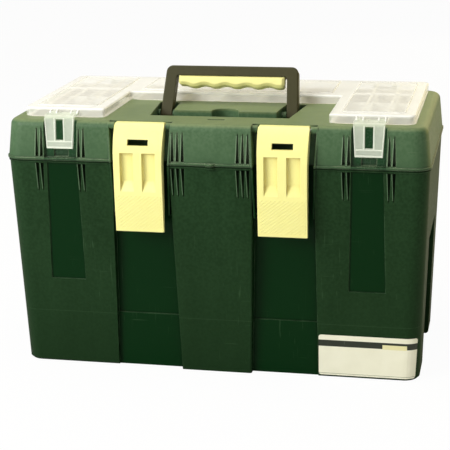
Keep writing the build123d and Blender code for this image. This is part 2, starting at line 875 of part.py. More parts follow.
# Bins that hang in the lid's openings by their flanges
bin_shells = bins(bin_wall, bin_floor - bin_wall, lid_top)
bin_flanges = bins(bin_wall + bin_flange, lid_top - bin_lip, lid_top)
bin_rooms = bins(0, bin_floor, lid_top + spill)
for where, shell, flange, room in zip(("rear", "left", "right"), bin_shells, bin_flanges, bin_rooms):
    with BuildPart() as organizer_bin:
        add([shell, flange])
        add(room, mode=Mode.SUBTRACT)
    organizer_bin.part.label = f"organizer_bin_{where}"
    export_step(organizer_bin.part, f"parts/organizer_bin_{where}.step")

# Loose dividers in the bins
for side, side_name in sides:
    with BuildPart() as wing_dividers:
        low, high = bin_floor, lid_top - divider_drop
        near, far = wing_near + divider_gap, wing_far - divider_gap
        add(plain_block(*span(side, near, far), wing_cross_y - divider_thickness / 2,
                        wing_cross_y + divider_thickness / 2, low, high))
        plate_room = divider_thickness / 2 + divider_gap
        for column in range(1, wing_columns):
            x = side * (wing_near + (wing_far - wing_near) * column / wing_columns)
            x_low, x_high = x - divider_thickness / 2, x + divider_thickness / 2
            for y_low, y_high in (
                (wing_front + divider_gap, wing_cross_y - plate_room),
                (wing_cross_y + plate_room, bin_rear - divider_gap),
            ):
                add(plain_block(x_low, x_high, y_low, y_high, low, high))
    wing_dividers.part.label = f"bin_dividers_{side_name}"
    export_step(wing_dividers.part, f"parts/bin_dividers_{side_name}.step")

with BuildPart() as strip_dividers:
    for cell in range(1, rear_cells):
        x = strip_half * (2 * cell / rear_cells - 1)
        add(plain_block(x - divider_thickness / 2, x + divider_thickness / 2, strip_front + divider_gap,
                        bin_rear - divider_gap, bin_floor, lid_top - divider_drop))
strip_dividers.part.label = "bin_dividers_rear"
export_step(strip_dividers.part, "parts/bin_dividers_rear.step")

# Cover over the bins
clip_axis_y = cover_front - clip_axis_reach
clip_axis_z = cover_bottom + clip_axis_rise
cover_web = (
    (cover_rear - cover_wall / 2, cover_bottom),
    (cover_axis_y, cover_axis_z),
    (cover_axis_y, cover_axis_z + cover_barrel_radius),
    (cover_rear - cover_wall / 2, cover_axis_z + cover_barrel_radius + spill),
)
clip_ear_section = (
    (cover_front + cover_wall / 2, clip_axis_z - clip_knuckle_radius),
    (clip_axis_y, clip_axis_z - clip_knuckle_radius),
    (clip_axis_y, clip_axis_z + clip_knuckle_radius),
    (cover_front + cover_wall / 2, cover_top - cover_edge),
)


def cover_plan(inset):
    """The cover's U-shaped outline as a sketch, drawn in by an inset."""
    with BuildSketch() as plan:
        with Locations((0, (cover_front + cover_rear) / 2)):
            Rectangle(2 * cover_half, cover_rear - cover_front)
        with Locations((0, (cover_front + notch_rear) / 2)):
            Rectangle(2 * notch_half, notch_rear - cover_front, mode=Mode.SUBTRACT)
        outer_corners = plan.vertices().filter_by(lambda corner: abs(corner.X) > notch_half + spill)
        fillet(outer_corners, cover_corner)
        notch_corners = plan.vertices().filter_by(lambda corner: abs(abs(corner.X) - notch_half) < spill)
        fillet(notch_corners, notch_corner)
        if inset:
            offset(amount=-inset)
    return plan.sketch


with BuildPart() as organizer_cover:
    with BuildSketch(Plane.XY.offset(cover_bottom)):
        add(cover_plan(0))
    extrude(amount=cover_height)
    chamfer(organizer_cover.edges().group_by(Axis.Z)[-1], cover_edge)
    with BuildSketch(Plane.XY.offset(cover_bottom)):
        add(cover_plan(cover_wall))
    extrude(amount=cover_height - cover_wall, mode=Mode.SUBTRACT)
    joins = []
    bores = []
    panel_low = cover_top - cover_wall / 2
    panel_high = cover_top + panel_rise
    joins.append(rounded_block(
        panel_margin - notch_half, notch_half - panel_margin,
        notch_rear + panel_margin, cover_rear - panel_margin, panel_low, panel_high, cover_corner,
    ))
    for side, side_name in sides:
        x_low, x_high = span(side, notch_half + panel_margin, cover_half - panel_margin)
        joins.append(rounded_block(x_low, x_high, cover_front + panel_margin, cover_rear - panel_margin,
                                   panel_low, panel_high, cover_corner))
        for ear in (-clip_ear_outer, -clip_ear_inner, clip_ear_inner, clip_ear_outer):
            x_low = side * clip_x + ear - clip_ear / 2
            joins.append(bar_along_x(clip_ear_section, x_low, x_low + clip_ear))
            joins.append(rod_along_x(clip_knuckle_radius, clip_axis_y, clip_axis_z, x_low, x_low + clip_ear))
            bores.append(rod_along_x(clip_stub_radius + running_gap, clip_axis_y, clip_axis_z,
                                     x_low, x_low + clip_ear))
    for x in hinge_places:
        joins.append(bar_along_x(cover_web, x - cover_knuckle / 2, x + cover_knuckle / 2))
        joins.append(rod_along_x(cover_barrel_radius, cover_axis_y, cover_axis_z,
                                 x - cover_knuckle / 2, x + cover_knuckle / 2))
        bores.append(rod_along_x(cover_pin_radius + running_gap, cover_axis_y, cover_axis_z,
                                 x - cover_knuckle / 2, x + cover_knuckle / 2))
    add(joins)
    add(bores, mode=Mode.SUBTRACT)
organizer_cover.part.label = "organizer_cover"
export_step(organizer_cover.part, "parts/organizer_cover.step")

# Clips on the cover
bend_y = lid_front(lid_top) - clip_stand
toe_y = lid_front(clip_toe) - clip_stand
bead_tip = ridge_tip - catch_gap
bead_top = ridge_low - catch_gap
window_low = clip_toe + clip_window_sill
for side, side_name in sides:
    x_middle = side * clip_x
    with BuildPart() as clip:
        with BuildSketch(Plane.YZ.offset(x_middle - clip_top_half)):
            with BuildLine():
                FilletPolyline((clip_axis_y, clip_axis_z), (bend_y, clip_axis_z), (toe_y, clip_toe),
                               radius=clip_bend_radius)
                offset(amount=clip_thickness / 2, side=Side.BOTH)
            make_face()
        extrude(amount=2 * clip_top_half)
        # The plate narrows towards its toe
        with BuildSketch(Plane.XZ.offset(-cover_front)):
            with BuildLine():
                Polyline(
                    (x_middle - clip_top_half, cover_top), (x_middle + clip_top_half, cover_top),
                    (x_middle + clip_toe_half, clip_toe - clip_thickness),
                    (x_middle - clip_toe_half, clip_toe - clip_thickness), close=True,
                )
            make_face()
        extrude(amount=outside, mode=Mode.INTERSECT)
        cuts = [plain_block(x_middle - clip_window_width / 2, x_middle + clip_window_width / 2, -outside,
                            bend_y + clip_thickness, window_low, window_low + clip_window_height)]
        for half in (-1, 1):
            for ear in (clip_ear_inner, clip_ear_outer):
                middle = x_middle + half * ear
                room = clip_ear / 2 + seat_gap
                slot_end = clip_axis_y - clip_knuckle_radius - clip_ear_room
                cuts.append(plain_block(
                    middle - room, middle + room, slot_end, cover_front,
                    clip_axis_z - clip_thickness, clip_axis_z + clip_thickness,
                ))
        add(cuts, mode=Mode.SUBTRACT)
        joins = [bar_along_x(
            ((toe_y, bead_top - catch_ridge_height), (bead_tip, bead_top - catch_ridge_height / 2),
             (bead_tip, bead_top), (toe_y, bead_top)),
            x_middle - catch_recess_half, x_middle + catch_recess_half,
        )]
        for half in (-1, 1):
            middle = x_middle + half * (clip_ear_inner + clip_ear_outer) / 2
            knuckle_half = (clip_ear_outer - clip_ear_inner - clip_ear) / 2 - seat_gap
            joins.append(rod_along_x(clip_knuckle_radius, clip_axis_y, clip_axis_z,
                                     middle - knuckle_half, middle + knuckle_half))
            stub_half = knuckle_half + seat_gap + clip_ear
            joins.append(rod_along_x(clip_stub_radius, clip_axis_y, clip_axis_z,
                                     middle - stub_half, middle + stub_half))
        add(joins)
    clip.part.label = f"clip_{side_name}"
    export_step(clip.part, f"parts/clip_{side_name}.step")

# Latches
latch_toe = lid_top - latch_length
brow_turn = 90 - latch_top_turn
belly = (
    latch_axis_y - latch_brow_radius
    + (latch_brow_radius - latch_top_radius) * math.sin(math.radians(latch_top_turn)),
    lid_top - latch_top_radius
    - (latch_brow_radius - latch_top_radius) * math.cos(math.radians(latch_top_turn)),
)
face_turn = math.degrees(math.asin((belly[1] - latch_toe) / latch_face_radius))


def latch_face(inset, turn):
    """The latch's front in side view, as three tangent arcs from its top down, drawn in by an inset."""
    top = JernArc((latch_axis_y, lid_top - inset), (-1, 0), latch_top_radius - inset, latch_top_turn)
    brow = JernArc(top @ 1, top % 1, latch_brow_radius - inset, brow_turn)
    return JernArc(brow @ 1, brow % 1, latch_face_radius - inset, turn)


hollow_drop = belly[1] - latch_toe - latch_plate
hollow_turn = math.degrees(math.asin(hollow_drop / (latch_face_radius - latch_plate)))
pocket_top = lid_top - pocket_top_drop
pocket_bottom = pocket_top - pocket_length
slot_middle = lid_top - slot_drop
hook_tip = keeper_tip - catch_gap
hook_top = keeper_bottom - catch_gap
for side, side_name in sides:
    x_middle = side * channel_middle
    with BuildPart() as latch:
        with BuildSketch(Plane.YZ.offset(x_middle - latch_top_half)):
            with BuildLine():
                toe = latch_face(0, face_turn) @ 1
                Polyline(
                    toe, (toe.X + latch_toe_depth, toe.Y),
                    (belly[0] + latch_plate + latch_flange_depth, belly[1]),
                    (latch_axis_y, latch_axis_z - latch_barrel_radius), (latch_axis_y, lid_top),
                )
            make_face()
        extrude(amount=2 * latch_top_half)
        # Hollow back between the side flanges
        hollow_half = latch_half - latch_flange
        with BuildSketch(Plane.YZ.offset(x_middle - hollow_half)):
            with BuildLine():
                toe = latch_face(latch_plate, hollow_turn) @ 1
                Polyline(
                    toe, (latch_axis_y, toe.Y), (latch_axis_y, lid_top - latch_plate),
                )
            make_face()
        extrude(amount=2 * hollow_half, mode=Mode.SUBTRACT)
        joins = [rod_along_x(latch_barrel_radius, latch_axis_y, latch_axis_z,
                             x_middle - latch_top_half, x_middle + latch_top_half)]
        hook_root = belly[0] + latch_plate / 2
        joins.append(bar_along_x(
            ((hook_root, hook_top), (hook_tip, hook_top), (hook_tip, hook_top - hook_height / 2),
             (hook_root, hook_top - hook_height)),
            x_middle - keeper_half, x_middle + keeper_half,
        ))
        cuts = [plain_block(x_middle - slot_length / 2, x_middle + slot_length / 2, -outside, latch_axis_y,
                            slot_middle - slot_height / 2, slot_middle + slot_height / 2)]
        for half in (-1, 1):
            x_low = x_middle + half * pocket_offset - pocket_width / 2
            plate_y = belly[0] + latch_plate
            backing_y = belly[0] + pocket_depth + pocket_backing
            joins.append(bar_along_x(
                ((plate_y, pocket_top + pocket_backing), (backing_y, pocket_top + pocket_backing),
                 (backing_y, pocket_top - pocket_backing), (plate_y, pocket_bottom)),
                x_low - pocket_backing, x_low + pocket_width + pocket_backing,
            ))
            cuts.append(bar_along_x(
                ((belly[0] - spill, pocket_top), (belly[0] + pocket_depth, pocket_top),
                 (belly[0] + panel_rise / 2, pocket_bottom), (belly[0] - spill, pocket_bottom)),
                x_low, x_low + pocket_width,
            ))
        add(joins)
        # Front view: a little wider at the top, with rounded upper corners
        with BuildSketch(Plane.XZ.offset(-channel_floor(tub_height))) as front_view:
            with BuildLine():
                Polyline(
                    (x_middle - latch_top_half, lid_top + spill),
                    (x_middle + latch_top_half, lid_top + spill),
                    (x_middle + latch_half, belly[1]), (x_middle + latch_half, latch_toe - spill),
                    (x_middle - latch_half, latch_toe - spill), (x_middle - latch_half, belly[1]), close=True,
                )
            make_face()
            fillet(front_view.vertices().group_by(Axis.Y)[-1], latch_corner)
        extrude(amount=outside, mode=Mode.INTERSECT)
        cuts.append(rod_along_x(latch_pin_radius + running_gap, latch_axis_y, latch_axis_z,
                                x_middle - latch_top_half, x_middle + latch_top_half))
        add(cuts, mode=Mode.SUBTRACT)
    latch.part.label = f"latch_{side_name}"
    export_step(latch.part, f"parts/latch_{side_name}.step")

# Handle, drawn in its own leaning plane, with the pivot line as its base
lean_sin = math.sin(math.radians(handle_lean))
lean_cos = math.cos(math.radians(handle_lean))
handle_plane = Plane((0, pivot_y, pivot_z), x_dir=(1, 0, 0), z_dir=(0, -lean_cos, lean_sin))
bail_half = bail_thickness / 2
# The square rear corner of each leg's heel comes down on the well's floor and stops the lean
heel = (pivot_z - well_floor - seat_gap - bail_half * lean_sin) / lean_cos
bar_under = handle_reach - bar_height

with BuildPart() as handle_bail:
    with BuildSketch(handle_plane) as bail_view:
        with BuildLine():
            Polyline(
                (-leg_outer_low, -heel), (-leg_outer_low, 0), (-leg_outer_high, handle_reach),
                (leg_outer_high, handle_reach), (leg_outer_low, 0), (leg_outer_low, -heel),
                (leg_inner_low, -heel), (leg_inner_low, 0), (leg_inner_high, bar_under),
                (-leg_inner_high, bar_under), (-leg_inner_low, 0), (-leg_inner_low, -heel), close=True,
            )
        make_face()
        fillet(bail_view.vertices().group_by(Axis.Y)[-1], bail_outer_radius)
        inner_corners = bail_view.vertices().filter_by(lambda corner: abs(corner.Y - bar_under) < spill)
        fillet(inner_corners, bail_inner_radius)
    extrude(amount=bail_half, both=True)
    # The front of each heel is round, so that it clears the floor as the handle folds forward
    fillet(handle_bail.edges().filter_by(Axis.X).group_by(Axis.Z)[1], heel_radius)
    bar_edges = handle_bail.edges().filter_by(Axis.X).group_by(Axis.Z)
    chamfer(bar_edges[-1] + bar_edges[-2], bail_edge)
    bores = []
    for side, side_name in sides:
        bores.append(rod_along_x(handle_pin_radius + running_gap, pivot_y, pivot_z,
                                 *span(side, leg_inner_low - spill, leg_outer_low + spill)))
    add(bores, mode=Mode.SUBTRACT)
handle_bail.part.label = "handle_bail"
export_step(handle_bail.part, "parts/handle_bail.step")

grip_half = grip_bumps * grip_pitch / 2
grip_middle = bar_under - grip_height
with BuildPart() as handle_grip:
    with BuildSketch(handle_plane) as grip_view:
        with BuildLine():
            # The finger side is a row of arcs, by turns hollow and round
            for step in range(2 * grip_bumps):
                x = grip_pitch / 2 * step - grip_half
                peak = grip_middle + grip_wave * (-1) ** step
                ThreePointArc((x, grip_middle), (x + grip_pitch / 4, peak), (x + grip_pitch / 2, grip_middle))
            Polyline((grip_half, grip_middle), (grip_half, bar_under), (-grip_half, bar_under),
                     (-grip_half, grip_middle))
        make_face()
        end_corners = grip_view.vertices().filter_by(lambda corner: grip_half - abs(corner.X) < spill)
        fillet(end_corners.group_by(Axis.Y)[0], grip_corner)
    extrude(amount=grip_thickness / 2, both=True)
    broad_faces = handle_grip.faces().sort_by(Axis.Y)
    chamfer((broad_faces[0].edges() + broad_faces[-1].edges()), grip_edge)
handle_grip.part.label = "handle_grip"
export_step(handle_grip.part, "parts/handle_grip.step")

# Tray on the tub's rails
tray_half = rail_wall - rail_width - tray_side_gap
flange_half = rail_wall - tray_side_gap
flange_low = rail_top + seat_gap
tray_top = flange_low + tray_flange + tray_rise
tray_bottom = tray_top - tray_height
tray_rear = tub_outline(tray_bottom)[1] / 2 - wall - tray_rear_gap
tray_middle = tray_rear - tray_depth / 2


def tray_outline(level, inset=0.0):
    """Width, depth and corner radius of the tray at a height, drawn in by an inset."""
    taper = tray_draft * (tray_top - level) / tray_height
    return 2 * (tray_half - taper - inset), tray_depth - 2 * (taper + inset), tray_corner - inset


def tray_plate(x, thickness, reach, low, high):
    """An upright plate across the tray that ends a reach short of its two long walls."""
    ends = []
    for level in (low, high):
        half_depth = tray_outline(level, tray_wall)[1] / 2 - reach
        ends.append((x - thickness / 2, x + thickness / 2,
                     tray_middle - half_depth, tray_middle + half_depth, level))
    return tapered_block(*ends)


tray_floor = tray_bottom + tray_wall
tray_inner_half = tray_outline(tray_top, tray_wall)[0] / 2
tray_divider_places = [tray_inner_half * (2 * cell / tray_cells - 1) for cell in range(1, tray_cells)]
divider_top = tray_top - divider_drop
guide_offset = divider_thickness / 2 + divider_gap + guide_width / 2
with BuildPart() as tray:
    add(drafted_box(tray_outline(tray_bottom), tray_bottom, tray_outline(tray_top), tray_top, tray_middle))
    with BuildSketch(Plane.XY.offset(flange_low)):
        with Locations((0, tray_middle)):
            RectangleRounded(2 * flange_half, tray_depth, tray_flange_corner)
    extrude(amount=tray_flange)
    tray_cavity = drafted_box(tray_outline(tray_floor, tray_wall), tray_floor,
                              tray_outline(tray_top + spill, tray_wall), tray_top + spill, tray_middle)
    add(tray_cavity, mode=Mode.SUBTRACT)
    guides = []
    for x in tray_divider_places:
        for half in (-1, 1):
            guide_x = x + half * guide_offset
            guide = tray_plate(guide_x, guide_width, -spill, tray_floor, divider_top)
            guides.append(guide - tray_plate(guide_x, 2 * guide_width, guide_depth, tray_floor, divider_top))
    add(guides)
tray.part.label = "tray"
export_step(tray.part, "parts/tray.step")

with BuildPart() as tray_dividers:
    for x in tray_divider_places:
        add(tray_plate(x, divider_thickness, divider_gap, tray_floor, divider_top))
tray_dividers.part.label = "tray_dividers"
export_step(tray_dividers.part, "parts/tray_dividers.step")
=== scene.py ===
import json
import math

import bmesh
import bpy
from mathutils import Matrix, Vector


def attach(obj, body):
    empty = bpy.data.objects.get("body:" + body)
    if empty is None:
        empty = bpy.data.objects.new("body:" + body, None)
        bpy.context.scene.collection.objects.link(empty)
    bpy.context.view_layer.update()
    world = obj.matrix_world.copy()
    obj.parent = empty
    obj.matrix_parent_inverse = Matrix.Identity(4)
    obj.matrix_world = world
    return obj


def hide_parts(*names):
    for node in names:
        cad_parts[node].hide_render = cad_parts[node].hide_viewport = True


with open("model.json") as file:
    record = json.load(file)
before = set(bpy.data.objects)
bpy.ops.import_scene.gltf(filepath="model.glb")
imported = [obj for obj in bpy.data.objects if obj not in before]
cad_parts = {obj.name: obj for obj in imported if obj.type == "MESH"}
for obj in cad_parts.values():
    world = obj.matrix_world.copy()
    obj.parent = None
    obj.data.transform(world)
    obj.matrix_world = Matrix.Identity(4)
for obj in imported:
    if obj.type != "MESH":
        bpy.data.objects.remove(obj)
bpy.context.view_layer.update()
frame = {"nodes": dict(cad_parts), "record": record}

nodes = frame["nodes"]
scene = bpy.context.scene
scene.view_settings.view_transform = "Standard"


# Places that finishes and details share, in metres

clip_middle, latch_middle = 0.155, 0.0723
tub_face, tub_lean = -0.0994, 0.05
latch_belly = -0.12204
wing_near, wing_far, strip_half = 0.1245, 0.1870, 0.1025
panel_front, panel_rear, strip_front = -0.0780, 0.0920, 0.0223
beyond = 0.5


# Camera, at the place and angle that the photograph was taken from

def aim_camera():
    """A long lens in front of the box, a little to its right and above it."""
    yaw, pitch, roll = 0.208, 0.272, -0.017
    stand = (0.2910, -1.4281, 0.5349)
    sensor, lens, sight = 36.0, 112.507, 50.0
    ahead = Vector((-math.sin(yaw) * math.cos(pitch), math.cos(yaw) * math.cos(pitch), -math.sin(pitch)))
    level = Vector((math.cos(yaw), math.sin(yaw), 0.0))
    upright = level.cross(ahead)
    right = math.cos(roll) * level + math.sin(roll) * upright
    up = math.cos(roll) * upright - math.sin(roll) * level
    camera = bpy.data.objects.new("photo_camera", bpy.data.cameras.new("photo_camera"))
    camera.data.sensor_width = sensor
    camera.data.lens = lens
    camera.data.clip_end = sight
    turn = Matrix((right, up, -ahead)).transposed().to_4x4()
    camera.matrix_world = Matrix.Translation(stand) @ turn
    scene.collection.objects.link(camera)
    scene.camera = camera


aim_camera()


# Node helpers

def put(tree, kind, **values):
    """A node of a kind.

    Settings are given by their own names, and inputs by their socket names with _ for spaces.
    """
    node = tree.nodes.new(kind)
    for key, value in values.items():
        if hasattr(node, key) and not key[0].isupper():
            setattr(node, key, value)
        else:
            node.inputs[key.replace("_", " ")].default_value = value
    return node


def link(tree, source, target):
    """A link from an output socket to an input socket."""
    tree.links.new(source, target)


def new_group(name, inputs, outputs):
    """An empty shader node group with named sockets, and its two end nodes."""
    group = bpy.data.node_groups.new(name, "ShaderNodeTree")
    for label, kind, value in inputs:
        socket = group.interface.new_socket(name=label, in_out="INPUT", socket_type=kind)
        socket.default_value = value
    for label, kind in outputs:
        group.interface.new_socket(name=label, in_out="OUTPUT", socket_type=kind)
    return group, group.nodes.new("NodeGroupInput"), group.nodes.new("NodeGroupOutput")


def place(tree, group, **values):
    """A group placed in a material with its own values."""
    node = tree.nodes.new("ShaderNodeGroup")
    node.node_tree = group
    for key, value in values.items():
        node.inputs[key.replace("_", " ")].default_value = value
    return node


def stretched_noise(tree, spot, scale, detail, stretch=(1.0, 1.0, 1.0)):
    """Noise on the object's own coordinates, stretched along its axes; the scale is a socket or a number."""
    mapping = put(tree, "ShaderNodeMapping", Scale=stretch)
    noise = put(tree, "ShaderNodeTexNoise", Detail=detail)
    link(tree, spot, mapping.inputs["Vector"])
    link(tree, mapping.outputs["Vector"], noise.inputs["Vector"])
    if isinstance(scale, float):
        noise.inputs["Scale"].default_value = scale
    else:
        link(tree, scale, noise.inputs["Scale"])
    return noise.outputs["Fac"]


def ramp(tree, value, low, high, out_low=0.0, out_high=1.0):
    """A value spread evenly from one span to another and held at its ends."""
    node = put(tree, "ShaderNodeMapRange", From_Min=low, From_Max=high, To_Min=out_low, To_Max=out_high)
    link(tree, value, node.inputs["Value"])
    return node.outputs["Result"]


def sums(tree, operation, first, second):
    """One sum of two sockets or numbers."""
    node = put(tree, "ShaderNodeMath", operation=operation)
    for socket, value in zip(node.inputs, (first, second)):
        if isinstance(value, float):
            socket.default_value = value
        else:
            link(tree, value, socket)
    return node.outputs["Value"]


def blend(tree, share, first, second):
    """A mix of two colours, each a socket or a plain colour."""
    node = put(tree, "ShaderNodeMix", data_type="RGBA")
    link(tree, share, node.inputs[0])
    for socket, value in ((node.inputs[6], first), (node.inputs[7], second)):
        if isinstance(value, tuple):
            socket.default_value = (*value, 1.0)
        else:
            link(tree, value, socket)
    return node.outputs[2]


def within(tree, value, low, high, soft=0.0004):
    """A mask of the places where a length lies between two ends, with a narrow soft edge."""
    rise = ramp(tree, value, low - soft, low + soft)
    fall = ramp(tree, value, high + soft, high - soft)
    return sums(tree, "MULTIPLY", rise, fall)


def place_on_box(tree):
    """How far a point lies from the middle of the box to either side, how far back, and how high."""
    spot = put(tree, "ShaderNodeTexCoord").outputs["Object"]
    parts = put(tree, "ShaderNodeSeparateXYZ")
    link(tree, spot, parts.inputs["Vector"])
    return sums(tree, "ABSOLUTE", parts.outputs["X"], 0.0), parts.outputs["Y"], parts.outputs["Z"]


def leaning(tree, value, height, slope):
    """A length measured from a line that leans with the height."""
    return sums(tree, "ADD", value, sums(tree, "MULTIPLY", height, slope))


# Effects that several finishes share

def make_mould_grain():
    """The fine spark-eroded grain of moulded plastic: a height for bump and a speckle for gloss."""
    coarser, fine_share = 0.37, 0.65
    speckle_low, speckle_high = 0.35, 0.65
    group, start, end = new_group(
        "mould_grain", [("Grains per metre", "NodeSocketFloat", 900.0)],
        [("Height", "NodeSocketFloat"), ("Speckle", "NodeSocketFloat")])
    spot = put(group, "ShaderNodeTexCoord").outputs["Object"]
    grains = start.outputs["Grains per metre"]
    fine = stretched_noise(group, spot, grains, detail=2.0)
    coarse = stretched_noise(group, spot, sums(group, "MULTIPLY", grains, coarser), detail=1.0)
    height = sums(group, "ADD", sums(group, "MULTIPLY", fine, fine_share),
                  sums(group, "MULTIPLY", coarse, 1.0 - fine_share))
    link(group, height, end.inputs["Height"])
    link(group, ramp(group, coarse, speckle_low, speckle_high), end.inputs["Speckle"])
    return group


def make_flow_marks():
    """Broad clouds and faint upright streaks, where the plastic ran into the mould."""
    streaks_per_metre, upright = 60.0, (1.0, 1.0, 0.06)
    cloud_span, streak_span = (0.3, 0.7), (0.35, 0.75)
    group, start, end = new_group(
        "flow_marks", [("Clouds per metre", "NodeSocketFloat", 9.0)],
        [("Cloud", "NodeSocketFloat"), ("Streak", "NodeSocketFloat")])
    spot = put(group, "ShaderNodeTexCoord").outputs["Object"]
    cloud = stretched_noise(group, spot, start.outputs["Clouds per metre"], detail=3.0)
    streak = stretched_noise(group, spot, streaks_per_metre, detail=2.0, stretch=upright)
    link(group, ramp(group, cloud, *cloud_span), end.inputs["Cloud"])
    link(group, ramp(group, streak, *streak_span), end.inputs["Streak"])
    return group


def make_soft_edges():
    """Rounded-over edges for the light to catch, and a mask of them for wear and a painted highlight."""
    flat, bent = 0.98, 0.72
    patches_per_metre, bare, covered = 70.0, 0.35, 0.6
    group, start, end = new_group(
        "soft_edges", [("Radius", "NodeSocketFloat", 0.001), ("Wear", "NodeSocketFloat", 0.6)],
        [("Normal", "NodeSocketVector"), ("Edge", "NodeSocketFloat")])
    rounded = put(group, "ShaderNodeBevel", samples=6)
    link(group, start.outputs["Radius"], rounded.inputs["Radius"])
    faces = put(group, "ShaderNodeNewGeometry")
    likeness = put(group, "ShaderNodeVectorMath", operation="DOT_PRODUCT")
    link(group, rounded.outputs["Normal"], likeness.inputs[0])
    link(group, faces.outputs["Normal"], likeness.inputs[1])
    bend = ramp(group, likeness.outputs["Value"], flat, bent)
    spot = put(group, "ShaderNodeTexCoord").outputs["Object"]
    patches = ramp(group, stretched_noise(group, spot, patches_per_metre, detail=4.0), bare, covered)
    worn_and_highlit = sums(group, "MULTIPLY", bend, sums(group, "MULTIPLY", patches, start.outputs["Wear"]))
    link(group, rounded.outputs["Normal"], end.inputs["Normal"])
    link(group, worn_and_highlit, end.inputs["Edge"])
    return group


def make_scuffs():
    """Fine short scratches from handling, as a mask."""
    directions = ((30.0, 30.0, 900.0), (900.0, 60.0, 25.0), (420.0, 420.0, 40.0))
    line_low, line_high = 0.70, 0.78
    regions_per_metre, clean, handled = 14.0, 0.5, 0.68
    group, start, end = new_group(
        "scuffs", [("Amount", "NodeSocketFloat", 0.3)], [("Scratch", "NodeSocketFloat")])
    spot = put(group, "ShaderNodeTexCoord").outputs["Object"]
    lines = [ramp(group, stretched_noise(group, spot, 1.0, detail=1.0, stretch=way), line_low, line_high)
             for way in directions]
    longest = sums(group, "MAXIMUM", sums(group, "MAXIMUM", lines[0], lines[1]), lines[2])
    here = ramp(group, stretched_noise(group, spot, regions_per_metre, detail=3.0), clean, handled)
    scratch = sums(group, "MULTIPLY", sums(group, "MULTIPLY", longest, here), start.outputs["Amount"])
    link(group, scratch, end.inputs["Scratch"])
    return group


def make_crevice_shading():
    """Grooves and inner corners, as a mask of where painted shade darkens them."""
    open_face, deep_corner = 0.85, 0.35
    group, start, end = new_group(
        "crevice_shading", [("Reach", "NodeSocketFloat", 0.006)], [("Depth", "NodeSocketFloat")])
    shade = put(group, "ShaderNodeAmbientOcclusion", samples=6, only_local=True)
    link(group, start.outputs["Reach"], shade.inputs["Distance"])
    link(group, ramp(group, shade.outputs["AO"], open_face, deep_corner), end.inputs["Depth"])
    return group


def make_polished_tub():
    """The tub's sunk panels and latch channels, which are polished where the rest of its front is grained."""
    panel_near, panel_near_lean = 0.1343, -0.0185
    panel_far, panel_far_lean = 0.1746, 0.0233
    panel_low, panel_high = 0.0935, 0.2178
    channel_near, channel_near_lean = 0.0365, -0.0277
    channel_far, channel_far_lean = 0.1050, 0.0136
    front_end = -0.0870
    group, _, end = new_group("polished_tub", [], [("Polished", "NodeSocketFloat")])
    across, back, up = place_on_box(group)
    panel = sums(group, "MULTIPLY",
                 within(group, leaning(group, across, up, panel_near_lean), panel_near, beyond),
                 within(group, leaning(group, across, up, panel_far_lean), 0.0, panel_far))
    panel = sums(group, "MULTIPLY", panel, within(group, up, panel_low, panel_high))
    channel = sums(group, "MULTIPLY",
                   within(group, leaning(group, across, up, channel_near_lean), channel_near, beyond),
                   within(group, leaning(group, across, up, channel_far_lean), 0.0, channel_far))
    front = within(group, leaning(group, back, up, tub_lean), -beyond, front_end)
    smooth = sums(group, "MULTIPLY", sums(group, "MAXIMUM", panel, channel), front)
    link(group, smooth, end.inputs["Polished"])
    return group


def make_polished_lid():
    """The lid's clip channels, which are polished where the rest of its front is grained."""
    near, far, low, high, front_end = 0.1378, 0.1722, 0.215, 0.2602, -0.1
    group, _, end = new_group("polished_lid", [], [("Polished", "NodeSocketFloat")])
    across, back, up = place_on_box(group)
    channel = sums(group, "MULTIPLY", within(group, across, near, far), within(group, up, low, high))
    front = within(group, back, -beyond, front_end)
    link(group, sums(group, "MULTIPLY", channel, front), end.inputs["Polished"])
    return group


def make_cover_walls():
    """How milky the cover looks: less on its skirts and panels, and more on the ears that hold the clips."""
    border_share, panel_share, skirt_share, ear_share = 1.4, 0.9, 0.37, 1.4
    skirt_high, top_low, ears_end = 0.2668, 0.2686, -0.0894
    group, _, end = new_group("cover_walls", [], [("Share", "NodeSocketFloat")])
    across, back, up = place_on_box(group)
    wing = sums(group, "MULTIPLY", within(group, across, wing_near, wing_far),
                within(group, back, panel_front, panel_rear))
    strip = sums(group, "MULTIPLY", within(group, across, -strip_half, strip_half),
                 within(group, back, strip_front, panel_rear))
    share = ramp(group, sums(group, "MAXIMUM", wing, strip), 0.0, 1.0, border_share, panel_share)
    share = sums(group, "MULTIPLY", share, ramp(group, up, skirt_high, top_low, skirt_share, 1.0))
    ears = ramp(group, within(group, back, -beyond, ears_end), 0.0, 1.0, 0.0, ear_share)
    link(group, sums(group, "MAXIMUM", share, ears), end.inputs["Share"])
    return group


mould_grain = make_mould_grain()
flow_marks = make_flow_marks()
soft_edges = make_soft_edges()
scuffs = make_scuffs()
crevice_shading = make_crevice_shading()
polished_tub = make_polished_tub()
polished_lid = make_polished_lid()
cover_walls = make_cover_walls()


# Finishes

